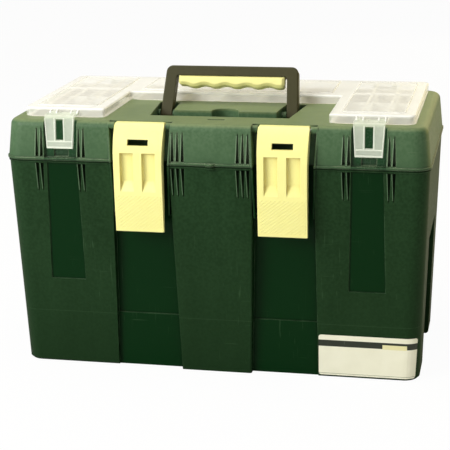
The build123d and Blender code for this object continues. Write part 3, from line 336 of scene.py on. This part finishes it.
def moulded_plastic(name, deep, pale, worn_and_highlit, roughness, specular, edge_radius=0.0009, edge_wear_and_highlight=0.6,
                    grains=900.0, grain_depth=0.00006, clouds=9.0, scratches=0.3, speckles=0.2,
                    crevice_shade=0.5, shade_colour=None, reach=0.006, height_shade=None, seam=None, gap_shade=None,
                    polish=None, polished_shade=None, top_light=None, top_light_colour=None):
    """A moulded plastic: a clouded colour, worn edges with a painted highlight, painted shade in grooves,
    scuffs and a fine grain.

    A height shade is the two heights between which the colour goes from deep to pale, a painted shade that
    keeps the lower part darker, and a top light the two between which it goes over to the paler top colour, a
    painted top light and sheen. A seam is the height of a faint line left by the mould, and a gap shade the
    two heights of a painted shadow line in the gap along a closing edge. A polish is the group that gives the
    smooth places, which have the darker polished colour, a painted shade for the dim reflections of their
    smooth faces.
    """
    streak_share, low_shade_tone, high_shade_tone = 0.25, 0.25, 1.2
    dull_tone, clear_tone, least_top_light = 0.1, 0.9, 0.6
    gloss_spread, polish_gain, polish_relief, scratch_dulling = 0.04, 0.2, 0.15, 0.25
    shade_share, seam_half, seam_share, gap_shade_soft, gap_shade_share = 0.3, 0.0003, 0.14, 0.0002, 0.85
    material = bpy.data.materials.new(name)
    material.use_nodes = True
    tree = material.node_tree
    shader = tree.nodes["Principled BSDF"]
    shader.inputs["Specular IOR Level"].default_value = specular
    grain = place(tree, mould_grain, Grains_per_metre=grains)
    marks = place(tree, flow_marks, Clouds_per_metre=clouds)
    edges = place(tree, soft_edges, Radius=edge_radius, Wear=edge_wear_and_highlight)
    scuff = place(tree, scuffs, Amount=scratches)
    groove_shade = place(tree, crevice_shading, Reach=reach)
    clouded = sums(tree, "MULTIPLY", marks.outputs["Cloud"], 1.0 - streak_share - speckles)
    streaked = sums(tree, "MULTIPLY", marks.outputs["Streak"], streak_share)
    speckled = sums(tree, "MULTIPLY", grain.outputs["Speckle"], speckles)
    tone = sums(tree, "ADD", sums(tree, "ADD", clouded, streaked), speckled)
    # Painted shade: the colour is darker low down and paler high up.
    if height_shade:
        height = ramp(tree, place_on_box(tree)[2], *height_shade, low_shade_tone, high_shade_tone)
        tone = sums(tree, "MULTIPLY", tone, height)
    colour = blend(tree, tone, deep, pale)
    # Painted top light and sheen: the top of the lid goes over to a paler olive.
    if top_light:
        share = sums(tree, "MULTIPLY", ramp(tree, place_on_box(tree)[2], *top_light),
                     ramp(tree, tone, dull_tone, clear_tone, least_top_light, 1.0))
        colour = blend(tree, share, colour, top_light_colour)
    gloss = ramp(tree, grain.outputs["Speckle"], 0.0, 1.0, roughness - gloss_spread, roughness + gloss_spread)
    relief = grain.outputs["Height"]
    # The smooth places really are smoother and less grained; their darker colour is a painted shade for the
    # dim reflections of their smooth faces.
    if polish:
        smooth = place(tree, polish).outputs["Polished"]
        colour = blend(tree, smooth, colour, polished_shade)
        gloss = sums(tree, "SUBTRACT", gloss, sums(tree, "MULTIPLY", smooth, polish_gain))
        relief = sums(tree, "MULTIPLY", relief, ramp(tree, smooth, 0.0, 1.0, 1.0, polish_relief))
    # Painted shade: grooves, inner corners and pockets go over to the shade colour.
    shade_colour = shade_colour or tuple(shade_share * level for level in deep)
    colour = blend(tree, sums(tree, "MULTIPLY", groove_shade.outputs["Depth"], crevice_shade), colour, shade_colour)
    if seam:
        line = within(tree, place_on_box(tree)[2], seam - seam_half, seam + seam_half, seam_half)
        colour = blend(tree, sums(tree, "MULTIPLY", line, seam_share), colour, worn_and_highlit)
    # Edges go over to the worn colour: partly real wear, partly a painted highlight.
    colour = blend(tree, edges.outputs["Edge"], colour, worn_and_highlit)
    colour = blend(tree, scuff.outputs["Scratch"], colour, worn_and_highlit)
    # Painted shadow: a dark line in the gap along the closing edge between lid and tub.
    if gap_shade:
        line = within(tree, place_on_box(tree)[2], *gap_shade, gap_shade_soft)
        colour = blend(tree, sums(tree, "MULTIPLY", line, gap_shade_share), colour, shade_colour)
    link(tree, colour, shader.inputs["Base Color"])
    dulling = sums(tree, "MULTIPLY", scuff.outputs["Scratch"], scratch_dulling)
    link(tree, sums(tree, "ADD", gloss, dulling), shader.inputs["Roughness"])
    bump = put(tree, "ShaderNodeBump", Strength=1.0, Distance=grain_depth)
    link(tree, relief, bump.inputs["Height"])
    link(tree, edges.outputs["Normal"], bump.inputs["Normal"])
    link(tree, bump.outputs["Normal"], shader.inputs["Normal"])
    return material


def milky_plastic(name, deep, pale, worn_and_highlit, roughness, thin, thick, walls=None):
    """A milky plastic that shows what is under it, and that lets most light through to it.

    Its body varies from thin to thick, and walls are the group that gives a share of it to each place.
    """
    specular, shadow_share = 0.28, 0.22
    material = moulded_plastic(name, deep, pale, worn_and_highlit, roughness, specular, edge_radius=0.0008, edge_wear_and_highlight=0.9,
                               grains=700.0, grain_depth=0.00003, clouds=14.0, scratches=0.25, crevice_shade=0.0)
    tree = material.node_tree
    shader = tree.nodes["Principled BSDF"]
    marks = place(tree, flow_marks, Clouds_per_metre=22.0)
    edges = place(tree, soft_edges, Radius=0.0012, Wear=1.0)
    body = ramp(tree, marks.outputs["Cloud"], 0.0, 1.0, thin, thick)
    if walls:
        body = sums(tree, "MULTIPLY", body, place(tree, walls).outputs["Share"])
    # The edges are more opaque and whiter: partly a painted highlight.
    body = sums(tree, "MAXIMUM", body, edges.outputs["Edge"])
    rays = put(tree, "ShaderNodeLightPath")
    shaded = ramp(tree, rays.outputs["Is Shadow Ray"], 0.0, 1.0, 1.0, shadow_share)
    link(tree, sums(tree, "MULTIPLY", body, shaded), shader.inputs["Alpha"])
    return material


def drawn_steel():
    """Bright drawn wire, with fine lines along the rod."""
    along, line_span = (40.0, 3000.0, 3000.0), (0.3, 0.7)
    dark, bright, dull, shiny = (0.42, 0.42, 0.43), (0.60, 0.60, 0.61), 0.34, 0.22
    material = bpy.data.materials.new("steel_pins")
    material.use_nodes = True
    tree = material.node_tree
    shader = tree.nodes["Principled BSDF"]
    shader.inputs["Metallic"].default_value = 1.0
    spot = put(tree, "ShaderNodeTexCoord").outputs["Object"]
    lines = ramp(tree, stretched_noise(tree, spot, 1.0, detail=2.0, stretch=along), *line_span)
    link(tree, blend(tree, lines, dark, bright), shader.inputs["Base Color"])
    link(tree, ramp(tree, lines, 0.0, 1.0, dull, shiny), shader.inputs["Roughness"])
    return material


green_tub = moulded_plastic(
    "green_tub", deep=(0.0072, 0.0265, 0.0074), pale=(0.0185, 0.0525, 0.0190), worn_and_highlit=(0.075, 0.150, 0.072),
    roughness=0.52, specular=0.07, edge_radius=0.0011, edge_wear_and_highlight=0.75, crevice_shade=0.75, speckles=0.4,
    height_shade=(0.0, 0.22), seam=0.0575, gap_shade=(0.2188, 0.2197),
    polish=polished_tub, polished_shade=(0.0007, 0.0215, 0.0036))
# The lid's green is lighter than the tub's: partly its own tone, partly a painted sheen.
green_lid = moulded_plastic(
    "green_lid", deep=(0.041, 0.097, 0.039), pale=(0.097, 0.171, 0.086), worn_and_highlit=(0.27, 0.35, 0.21),
    roughness=0.46, specular=0.26, edge_radius=0.0011, edge_wear_and_highlight=1.0, crevice_shade=0.85, speckles=0.35,
    height_shade=(0.222, 0.262), gap_shade=(0.2207, 0.2213), polish=polished_lid, polished_shade=(0.012, 0.055, 0.018),
    top_light=(0.2572, 0.2602), top_light_colour=(0.205, 0.262, 0.118))
# The flute ribs are a lighter green than the tub and lid: a painted highlight on their lit edges.
tub_ribs_highlit = moulded_plastic(
    "tub_ribs_highlit", deep=(0.050, 0.105, 0.050), pale=(0.080, 0.150, 0.076), worn_and_highlit=(0.14, 0.22, 0.13),
    roughness=0.42, specular=0.30, crevice_shade=0.3)
lid_ribs_highlit = moulded_plastic(
    "lid_ribs_highlit", deep=(0.130, 0.215, 0.122), pale=(0.190, 0.285, 0.172), worn_and_highlit=(0.30, 0.38, 0.25),
    roughness=0.40, specular=0.35, crevice_shade=0.3)
green_tray = moulded_plastic(
    "green_tray", deep=(0.018, 0.050, 0.021), pale=(0.026, 0.064, 0.028), worn_and_highlit=(0.07, 0.12, 0.06),
    roughness=0.36, specular=0.25)
natural_dividers = moulded_plastic(
    "natural_dividers", deep=(0.86, 0.86, 0.81), pale=(0.91, 0.91, 0.86), worn_and_highlit=(0.95, 0.95, 0.92),
    roughness=0.40, specular=0.35, crevice_shade=0.1)
natural_bins = moulded_plastic(
    "natural_bins", deep=(0.68, 0.64, 0.57), pale=(0.78, 0.745, 0.68), worn_and_highlit=(0.97, 0.97, 0.94),
    roughness=0.42, specular=0.35, edge_radius=0.0014, edge_wear_and_highlight=1.0, crevice_shade=0.15)
milky_cover = milky_plastic(
    "milky_cover", deep=(0.95, 0.955, 0.945), pale=(0.97, 0.975, 0.965), worn_and_highlit=(0.99, 0.99, 0.98),
    roughness=0.40, thin=0.56, thick=0.60, walls=cover_walls)
milky_clips = milky_plastic(
    "milky_clips", deep=(0.78, 0.84, 0.72), pale=(0.84, 0.90, 0.79), worn_and_highlit=(0.96, 0.97, 0.92),
    roughness=0.30, thin=0.34, thick=0.40)
milky_ribs = milky_plastic(
    "milky_ribs", deep=(0.82, 0.86, 0.77), pale=(0.88, 0.91, 0.83), worn_and_highlit=(0.96, 0.97, 0.93),
    roughness=0.30, thin=0.48, thick=0.56)
milky_beads = milky_plastic(
    "milky_beads", deep=(0.90, 0.91, 0.90), pale=(0.92, 0.93, 0.92), worn_and_highlit=(0.94, 0.95, 0.94),
    roughness=0.34, thin=0.36, thick=0.42)
milky_seals = milky_plastic(
    "milky_seals", deep=(0.96, 0.96, 0.94), pale=(0.98, 0.98, 0.96), worn_and_highlit=(0.99, 0.99, 0.98),
    roughness=0.34, thin=0.84, thick=0.90)
# The latches and the grip have their own shade colours: painted shade, deep orange in the latch pockets and
# brownish in the grip's grooves.
yellow_latches = moulded_plastic(
    "yellow_latches", deep=(0.93, 0.875, 0.325), pale=(0.955, 0.915, 0.365), worn_and_highlit=(0.96, 0.93, 0.58),
    roughness=0.33, specular=0.50, edge_wear_and_highlight=0.5, scratches=0.2, crevice_shade=0.85, shade_colour=(0.60, 0.44, 0.09),
    reach=0.011)
yellow_grip = moulded_plastic(
    "yellow_grip", deep=(0.92, 0.865, 0.335), pale=(0.95, 0.90, 0.375), worn_and_highlit=(0.96, 0.93, 0.58),
    roughness=0.40, specular=0.38, edge_radius=0.002, edge_wear_and_highlight=0.3, scratches=0.3, crevice_shade=0.6,
    shade_colour=(0.50, 0.40, 0.12))
olive_handle = moulded_plastic(
    "olive_handle", deep=(0.045, 0.042, 0.0165), pale=(0.060, 0.056, 0.023), worn_and_highlit=(0.17, 0.16, 0.09),
    roughness=0.44, specular=0.20, edge_radius=0.0012)
steel_pins = drawn_steel()

finishes = {
    "green_tub": green_tub,
    "green_lid": green_lid,
    "green_tray": green_tray,
    "natural_dividers": natural_dividers,
    "natural_bins": natural_bins,
    "milky_cover": milky_cover,
    "milky_clips": milky_clips,
    "yellow_latches": yellow_latches,
    "yellow_grip": yellow_grip,
    "olive_handle": olive_handle,
    "steel_pins": steel_pins,
}
for piece in frame["record"]["subparts"]:
    for slot in nodes[piece["node"]].material_slots:
        slot.material = finishes[piece["material_slot"]]


# Details too fine for the solids

def new_piece(name, shape, material, body):
    """A finished mesh as a piece that moves with a body and carries the finish it is given."""
    mesh = bpy.data.meshes.new(name)
    shape.to_mesh(mesh)
    shape.free()
    mesh.materials.append(material)
    piece = bpy.data.objects.new(name, mesh)
    scene.collection.objects.link(piece)
    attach(piece, body)
    return piece


def add_bar(shape, low, high, edge=0.0003):
    """A bar between two corners with its edges rounded."""
    verts = bmesh.ops.create_cube(shape, size=1.0)["verts"]
    bmesh.ops.scale(shape, verts=verts, vec=[end - start for start, end in zip(low, high)])
    bmesh.ops.translate(shape, verts=verts, vec=[(start + end) / 2 for start, end in zip(low, high)])
    edges = list(dict.fromkeys(line for vert in verts for line in vert.link_edges))
    bmesh.ops.bevel(shape, geom=edges, offset=edge, affect="EDGES", segments=2, profile=0.5, material=-1)


def add_leaning_bar(shape, low, high, x_lean, y_lean, foot, edge=0.0003):
    """A bar with rounded edges that leans across and back from the height of its foot."""
    bar = bmesh.new()
    add_bar(bar, low, high, edge)
    shear = Matrix.Identity(4)
    shear[0][2], shear[0][3] = x_lean, -x_lean * foot
    shear[1][2], shear[1][3] = y_lean, -y_lean * foot
    bmesh.ops.transform(bar, matrix=shear, verts=bar.verts)
    part = bpy.data.meshes.new("bar")
    bar.to_mesh(part)
    bar.free()
    shape.from_mesh(part)
    bpy.data.meshes.remove(part)


def rib_clip(side_name, side):
    """Raised ribs on a clip's face: down its sides, beside its window, under it, and along its toe."""
    middle = clip_middle * side
    toe, top, toe_half, narrowing = 0.2337, 0.2630, 0.01345, 0.065
    face_at_toe, lean, proud, sunk = -0.11160, 0.065, 0.0005, 0.0006
    side_rib, bar_inner, bar_outer = 0.0012, 0.0041, 0.0056
    sill_low, sill_high, lip_low, lip_high = 0.2389, 0.2402, 0.2325, 0.2344
    shape = bmesh.new()
    bars = [
        (-toe_half, -toe_half + side_rib, toe, top, -narrowing),
        (toe_half - side_rib, toe_half, toe, top, narrowing),
        (-bar_outer, -bar_inner, sill_high, top, 0.0),
        (bar_inner, bar_outer, sill_high, top, 0.0),
        (-toe_half, toe_half, sill_low, sill_high, 0.0),
        (-toe_half, toe_half, lip_low, lip_high, 0.0),
    ]
    for left, right, low, high, spread in bars:
        add_leaning_bar(shape, (middle + left, face_at_toe - proud, low),
                        (middle + right, face_at_toe + sunk, high), spread, lean, toe)
    new_piece(f"clip_ribs_{side_name}", shape, milky_ribs, f"clip_{side_name}")


def add_prism(shape, outline, left, right):
    """A bar along X with an outline of places in Y and Z."""
    near = shape.faces.new([shape.verts.new((left, *point)) for point in outline])
    drawn = bmesh.ops.extrude_face_region(shape, geom=[near])["geom"]
    far = [item for item in drawn if isinstance(item, bmesh.types.BMVert)]
    bmesh.ops.translate(shape, verts=far, vec=(right - left, 0, 0))
    bmesh.ops.recalc_face_normals(shape, faces=shape.faces)


def merged_copy(mesh):
    """A copy of a solid's mesh with its loose triangles joined, without the solid's own normals."""
    closeness = 0.000002
    copy = mesh.copy()
    for layer in [layer for layer in copy.attributes if layer.name == "custom_normal"]:
        copy.attributes.remove(layer)
    shape = bmesh.new()
    shape.from_mesh(copy)
    bmesh.ops.remove_doubles(shape, verts=shape.verts, dist=closeness)
    shape.to_mesh(copy)
    shape.free()
    return copy


def reshape(mesh, shape, operation):
    """A mesh with a shape joined to it or cut out of it."""
    tool_mesh = bpy.data.meshes.new("tool")
    shape.to_mesh(tool_mesh)
    shape.free()
    tool = bpy.data.objects.new("tool", tool_mesh)
    work = bpy.data.objects.new("work", mesh)
    scene.collection.objects.link(tool)
    scene.collection.objects.link(work)
    change = work.modifiers.new("change", "BOOLEAN")
    change.operation, change.solver, change.object = operation, "EXACT", tool
    bpy.context.view_layer.update()
    result = bpy.data.meshes.new_from_object(work.evaluated_get(bpy.context.evaluated_depsgraph_get()))
    for spent in (tool, work):
        bpy.data.objects.remove(spent)
    return result


def carve_latch(side_name, side):
    """The latch with its two finger pockets sunk to an even depth, each ending below in a short ramp."""
    middle, offset, half = latch_middle * side, 0.0112, 0.0068
    top, ramp_start, bottom = 0.23185, 0.2030, 0.1928
    sunk, before, behind = 0.0045, 0.0040, 0.0088
    filling, fill_end, tail, rounding = 0.0005, 0.2075, 0.0005, 0.0012
    crease = math.radians(30.0)
    floor, front = latch_belly + sunk, latch_belly - before
    fill_outline = [(floor - filling, top + filling), (latch_belly + behind, top + filling),
                    (floor - filling, fill_end)]
    cut_outline = [(front, top), (floor, top), (floor, ramp_start), (latch_belly + tail, bottom),
                   (front, bottom)]
    fill, cut = bmesh.new(), bmesh.new()
    for pocket in (middle - offset, middle + offset):
        add_prism(fill, fill_outline, pocket - half - filling, pocket + half + filling)
        add_prism(cut, cut_outline, pocket - half, pocket + half)
    deep_edges = [line for line in cut.edges
                  if min(vert.co.y for vert in line.verts) > latch_belly + 2 * tail]
    bmesh.ops.bevel(cut, geom=deep_edges, offset=rounding, affect="EDGES", segments=3, profile=0.5,
                    material=-1)
    node = f"latch_{side_name}"
    mesh = reshape(merged_copy(nodes[node].data), fill, "UNION")
    mesh = reshape(mesh, cut, "DIFFERENCE")
    mesh.shade_smooth()
    mesh.set_sharp_from_angle(angle=crease)
    latch = bpy.data.objects.new(f"latch_plate_{side_name}", mesh)
    scene.collection.objects.link(latch)
    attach(latch, node)
    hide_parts(node)


def hatch_latch(side_name, side):
    """Fine slanting ribs on the lower third of a latch, for the thumb."""
    middle, half, low, high = latch_middle * side, 0.0228, 0.1545, 0.1885
    count, pitch, width, depth, length = 34, 0.0027, 0.0011, 0.0009, 0.12
    proud, turn, longest_edge = 0.00018, math.radians(52.0), 0.006
    belly_height, face_radius = 0.22042, 0.790
    centre = (low + high) / 2
    borders = (((1, 0, 0), half), ((-1, 0, 0), half), ((0, 0, 1), high - centre), ((0, 0, -1), centre - low))
    shape = bmesh.new()
    for step in range(count):
        along = (step - (count - 1) / 2) * pitch / math.cos(turn)
        rib = bmesh.ops.create_cube(shape, size=1.0)["verts"]
        bmesh.ops.scale(shape, verts=rib, vec=(width, depth, length))
        bmesh.ops.rotate(shape, verts=rib, cent=(0, 0, 0), matrix=Matrix.Rotation(turn, 3, "Y"))
        bmesh.ops.translate(shape, verts=rib, vec=(along, 0, 0))
    for normal, away in borders:
        everything = shape.verts[:] + shape.edges[:] + shape.faces[:]
        cut = bmesh.ops.bisect_plane(shape, geom=everything, plane_co=Vector(normal) * away, plane_no=normal,
                                     clear_outer=True)
        rims = [line for line in cut["geom_cut"] if isinstance(line, bmesh.types.BMEdge)]
        bmesh.ops.holes_fill(shape, edges=rims, sides=8)
    long_edges = [line for line in shape.edges if line.calc_length() > longest_edge]
    bmesh.ops.subdivide_edges(shape, edges=long_edges, cuts=3, use_grid_fill=True)
    for vert in shape.verts:
        height = vert.co.z + centre
        face = latch_belly + face_radius - math.sqrt(face_radius ** 2 - (belly_height - height) ** 2)
        vert.co = Vector((vert.co.x + middle, vert.co.y + face + depth / 2 - proud, height))
    new_piece(f"latch_hatch_{side_name}", shape, yellow_latches, f"latch_{side_name}")


def bead_cover():
    """Fine beads along the edges of the cover's raised panels."""
    width, low, high = 0.0013, 0.2700, 0.2709
    panels = ((-wing_far, -wing_near, panel_front), (-strip_half, strip_half, strip_front),
              (wing_near, wing_far, panel_front))
    shape = bmesh.new()
    for left, right, near in panels:
        for end in (near, panel_rear - width):
            add_bar(shape, (left, end, low), (right, end + width, high))
        for end in (left, right - width):
            add_bar(shape, (end, near, low), (end + width, panel_rear, high))
    new_piece("cover_beads", shape, milky_beads, "cover")


def rib_cover():
    """Low ribs under the cover, over the dividers, which close the cells."""
    low, high, half = 0.2660, 0.2682, 0.0008
    wing_cells, wing_cells_near, wing_cells_far, wing_cells_front = 3, 0.1183, 0.1932, -0.0840
    strip_cells, strip_cells_half, strip_cells_front = 5, 0.1077, 0.0163
    cross, rear = 0.0360, 0.0980
    shape = bmesh.new()
    for side in (-1, 1):
        left, right = sorted((side * wing_cells_near, side * wing_cells_far))
        add_bar(shape, (left, cross - half, low), (right, cross + half, high))
        for cell in range(1, wing_cells):
            x = side * (wing_cells_near + (wing_cells_far - wing_cells_near) * cell / wing_cells)
            add_bar(shape, (x - half, wing_cells_front, low), (x + half, rear, high))
    for cell in range(1, strip_cells):
        x = strip_cells_half * (2 * cell / strip_cells - 1)
        add_bar(shape, (x - half, strip_cells_front, low), (x + half, rear, high))
    new_piece("cover_ribs", shape, milky_seals, "cover")


def rib_flutes():
    """Thin ribs along the left edges of the flutes above and below the rim, in a lighter green as a painted
    highlight.
    """
    outer_steps, centre_steps = (-0.0242, -0.0193, 0.0198, 0.0246), (0.0276, 0.0327, 0.0378)
    flute_half, narrowing, length = 0.00155, 0.0397, 0.0270
    reach, gap, proud, sunk, edge = 0.0010, 0.0001, 0.0006, 0.0010, 0.0002
    tub_start, centre_face, centre_lean = 0.2166, -0.1024, 0.0636
    lid_start, lid_foot, lid_face, lid_lean, centre_forward = 0.2238, 0.2204, -0.1111, 0.0925, 0.006
    places = [(side * (clip_middle + step), False) for side in (-1, 1) for step in outer_steps]
    places += [(side * step, True) for side in (-1, 1) for step in centre_steps]
    tub_shape, lid_shape = bmesh.new(), bmesh.new()
    for middle, centre in places:
        near, far = middle - flute_half - reach, middle - flute_half - gap
        face, lean = (centre_face, centre_lean) if centre else (tub_face, tub_lean)
        front = face - lean * tub_start
        add_leaning_bar(tub_shape, (near, front - proud, tub_start - length),
                        (far, front + sunk, tub_start), -narrowing, -lean, tub_start, edge)
        front = lid_face + lid_lean * (lid_start - lid_foot) - (centre_forward if centre else 0.0)
        add_leaning_bar(lid_shape, (near, front - proud, lid_start),
                        (far, front + sunk, lid_start + length), narrowing, lid_lean, lid_start, edge)
    new_piece("tub_flute_ribs", tub_shape, tub_ribs_highlit, "tub")
    new_piece("lid_flute_ribs", lid_shape, lid_ribs_highlit, "lid")


def printed_label():
    """Glossy printed paper: cream, with a dark band, a small pale patch and a fine line at its foot."""
    band, patch_height, patch_width = (0.0340, 0.0408), (0.0335, 0.0383), (0.1700, 0.1945)
    foot_line, print_soft, line_soft = (0.0042, 0.0046), 0.00015, 0.0001
    smoothest, roughest = 0.28, 0.38
    cream, pale_cream, band_dark = (0.84, 0.825, 0.665), (0.88, 0.865, 0.71), (0.0040, 0.0105, 0.0028)
    patch_straw, line_green, scratched = (0.80, 0.75, 0.42), (0.10, 0.14, 0.06), (0.80, 0.80, 0.74)
    material = bpy.data.materials.new("printed_label")
    material.use_nodes = True
    tree = material.node_tree
    shader = tree.nodes["Principled BSDF"]
    shader.inputs["Specular IOR Level"].default_value = 0.4
    shader.inputs["Coat Weight"].default_value = 0.3
    shader.inputs["Coat Roughness"].default_value = 0.15
    across, _, up = place_on_box(tree)
    marks = place(tree, flow_marks, Clouds_per_metre=60.0)
    scuff = place(tree, scuffs, Amount=0.25)
    colour = blend(tree, marks.outputs["Cloud"], cream, pale_cream)
    colour = blend(tree, within(tree, up, *band, print_soft), colour, band_dark)
    patch = sums(tree, "MULTIPLY", within(tree, up, *patch_height, print_soft),
                 within(tree, across, *patch_width, print_soft))
    colour = blend(tree, patch, colour, patch_straw)
    colour = blend(tree, within(tree, up, *foot_line, line_soft), colour, line_green)
    colour = blend(tree, scuff.outputs["Scratch"], colour, scratched)
    link(tree, colour, shader.inputs["Base Color"])
    gloss = ramp(tree, marks.outputs["Streak"], 0.0, 1.0, smoothest, roughest)
    link(tree, gloss, shader.inputs["Roughness"])
    bump = put(tree, "ShaderNodeBump", Strength=0.6, Distance=0.0001)
    link(tree, marks.outputs["Cloud"], bump.inputs["Height"])
    link(tree, bump.outputs["Normal"], shader.inputs["Normal"])
    return material


def stick_label():
    """A sticker on the right pilaster's foot, bent round the tub's corner."""
    left, flat_end, low, high = 0.1056, 0.1906, 0.0026, 0.0462
    corner_radius, bend, rounding = 0.0160, math.radians(48.0), 0.0026
    gap, thickness = 0.00015, 0.0002
    shape = bmesh.new()
    near_edge = shape.edges.new([shape.verts.new((left, 0.0, height)) for height in (low, high)])
    drawn = bmesh.ops.extrude_edge_only(shape, edges=[near_edge])["geom"]
    far = [item for item in drawn if isinstance(item, bmesh.types.BMVert)]
    bmesh.ops.translate(shape, verts=far, vec=(flat_end - left, 0, 0))
    far_edge = shape.edges.get(far)
    bmesh.ops.spin(shape, geom=far + [far_edge], cent=(flat_end, corner_radius, 0), axis=(0, 0, 1),
                   angle=bend, steps=4, use_merge=False)
    bent = [vert for vert in shape.verts if vert.co.x > flat_end - rounding]
    spread = Matrix.Identity(4)
    spread[0][2], spread[0][3] = tub_lean, -tub_lean * low
    bmesh.ops.transform(shape, matrix=spread, verts=bent)
    corners = [vert for vert in shape.verts if len(vert.link_faces) == 1]
    bmesh.ops.bevel(shape, geom=corners, offset=rounding, affect="VERTICES", segments=5, profile=0.5,
                    material=-1)
    bmesh.ops.recalc_face_normals(shape, faces=shape.faces)
    if sum(face.normal.y for face in shape.faces) > 0:
        bmesh.ops.reverse_faces(shape, faces=shape.faces)
    bmesh.ops.triangulate(shape, faces=[face for face in shape.faces if len(face.verts) > 4])
    stand = Matrix.Identity(4)
    stand[1][2], stand[1][3] = -tub_lean, tub_face - gap
    bmesh.ops.transform(shape, matrix=stand, verts=shape.verts)
    label = new_piece("front_label", shape, printed_label(), "tub")
    paper = label.modifiers.new("paper", "SOLIDIFY")
    paper.thickness = thickness
    paper.offset = 1.0


for side_name, side in (("left", -1), ("right", 1)):
    rib_clip(side_name, side)
    carve_latch(side_name, side)
    hatch_latch(side_name, side)
bead_cover()
rib_cover()
rib_flutes()
stick_label()


# Floor, light and surroundings

def lay_floor():
    """A wide pale floor that looks white to the camera and keeps a soft shadow under the box."""
    half_width, below, whiteness = 9.0, -0.0002, 0.96
    mesh = bpy.data.meshes.new("floor")
    shape = bmesh.new()
    bmesh.ops.create_grid(shape, x_segments=1, y_segments=1, size=half_width)
    bmesh.ops.translate(shape, verts=shape.verts, vec=(0.0, 0.0, below))
    shape.to_mesh(mesh)
    shape.free()
    floor = bpy.data.objects.new("floor", mesh)
    scene.collection.objects.link(floor)
    material = bpy.data.materials.new("pale_floor")
    material.use_nodes = True
    tree = material.node_tree
    shader = tree.nodes["Principled BSDF"]
    shader.inputs["Base Color"].default_value = (0.86, 0.86, 0.85, 1.0)
    shader.inputs["Roughness"].default_value = 0.8
    shader.inputs["Specular IOR Level"].default_value = 0.1
    rays = put(tree, "ShaderNodeLightPath")
    glow = put(tree, "ShaderNodeEmission", Color=(1.0, 1.0, 1.0, 1.0), Strength=1.0)
    mix = put(tree, "ShaderNodeMixShader")
    link(tree, sums(tree, "MULTIPLY", rays.outputs["Is Camera Ray"], whiteness), mix.inputs["Fac"])
    link(tree, shader.outputs["BSDF"], mix.inputs[1])
    link(tree, glow.outputs["Emission"], mix.inputs[2])
    link(tree, mix.outputs["Shader"], tree.nodes["Material Output"].inputs["Surface"])
    mesh.materials.append(material)


def hang_lamp(name, place_at, aim_at, size, power, colour):
    """A large soft lamp that faces a point."""
    lamp = bpy.data.lights.new(name, "AREA")
    lamp.shape = "RECTANGLE"
    lamp.size, lamp.size_y = size
    lamp.energy = power
    lamp.color = colour
    stand = bpy.data.objects.new(name, lamp)
    stand.visible_camera = False
    stand.location = place_at
    stand.rotation_euler = (Vector(aim_at) - Vector(place_at)).to_track_quat("-Z", "Y").to_euler()
    scene.collection.objects.link(stand)


def set_surroundings():
    """White to the eye, and about a third as bright in reflections and on dull surfaces."""
    mirrored_level, dull_level = 0.35, 0.30
    world = bpy.data.worlds.new("studio")
    scene.world = world
    world.use_nodes = True
    tree = world.node_tree
    tree.nodes.clear()
    rays = put(tree, "ShaderNodeLightPath")
    seen = sums(tree, "MAXIMUM", rays.outputs["Is Camera Ray"], rays.outputs["Is Transmission Ray"])
    mirrored = sums(tree, "MULTIPLY", rays.outputs["Is Glossy Ray"], mirrored_level)
    strength = sums(tree, "MAXIMUM", sums(tree, "MAXIMUM", seen, mirrored), dull_level)
    sky = put(tree, "ShaderNodeBackground", Color=(1.0, 1.0, 1.0, 1.0))
    link(tree, strength, sky.inputs["Strength"])
    output = put(tree, "ShaderNodeOutputWorld")
    link(tree, sky.outputs["Background"], output.inputs["Surface"])


lay_floor()
set_surroundings()
hang_lamp("soft_overhead", place_at=(-0.3, -0.3, 1.8), aim_at=(0.0, 0.0, 0.2), size=(1.4, 1.4),
          power=17.5, colour=(1.0, 0.94, 0.78))
hang_lamp("main_front_left", place_at=(-1.2, -1.35, 1.0), aim_at=(0.0, -0.05, 0.15), size=(0.9, 0.9),
          power=26.0, colour=(0.99, 1.0, 0.97))
hang_lamp("warm_right", place_at=(1.35, 1.0, 0.55), aim_at=(0.1, 0.0, 0.15), size=(0.9, 0.9),
          power=8.0, colour=(1.0, 0.80, 0.22))
hang_lamp("warm_behind", place_at=(0.7, 2.2, 0.7), aim_at=(0.0, 0.0, 0.2), size=(1.4, 0.8),
          power=7.0, colour=(1.0, 0.84, 0.36))
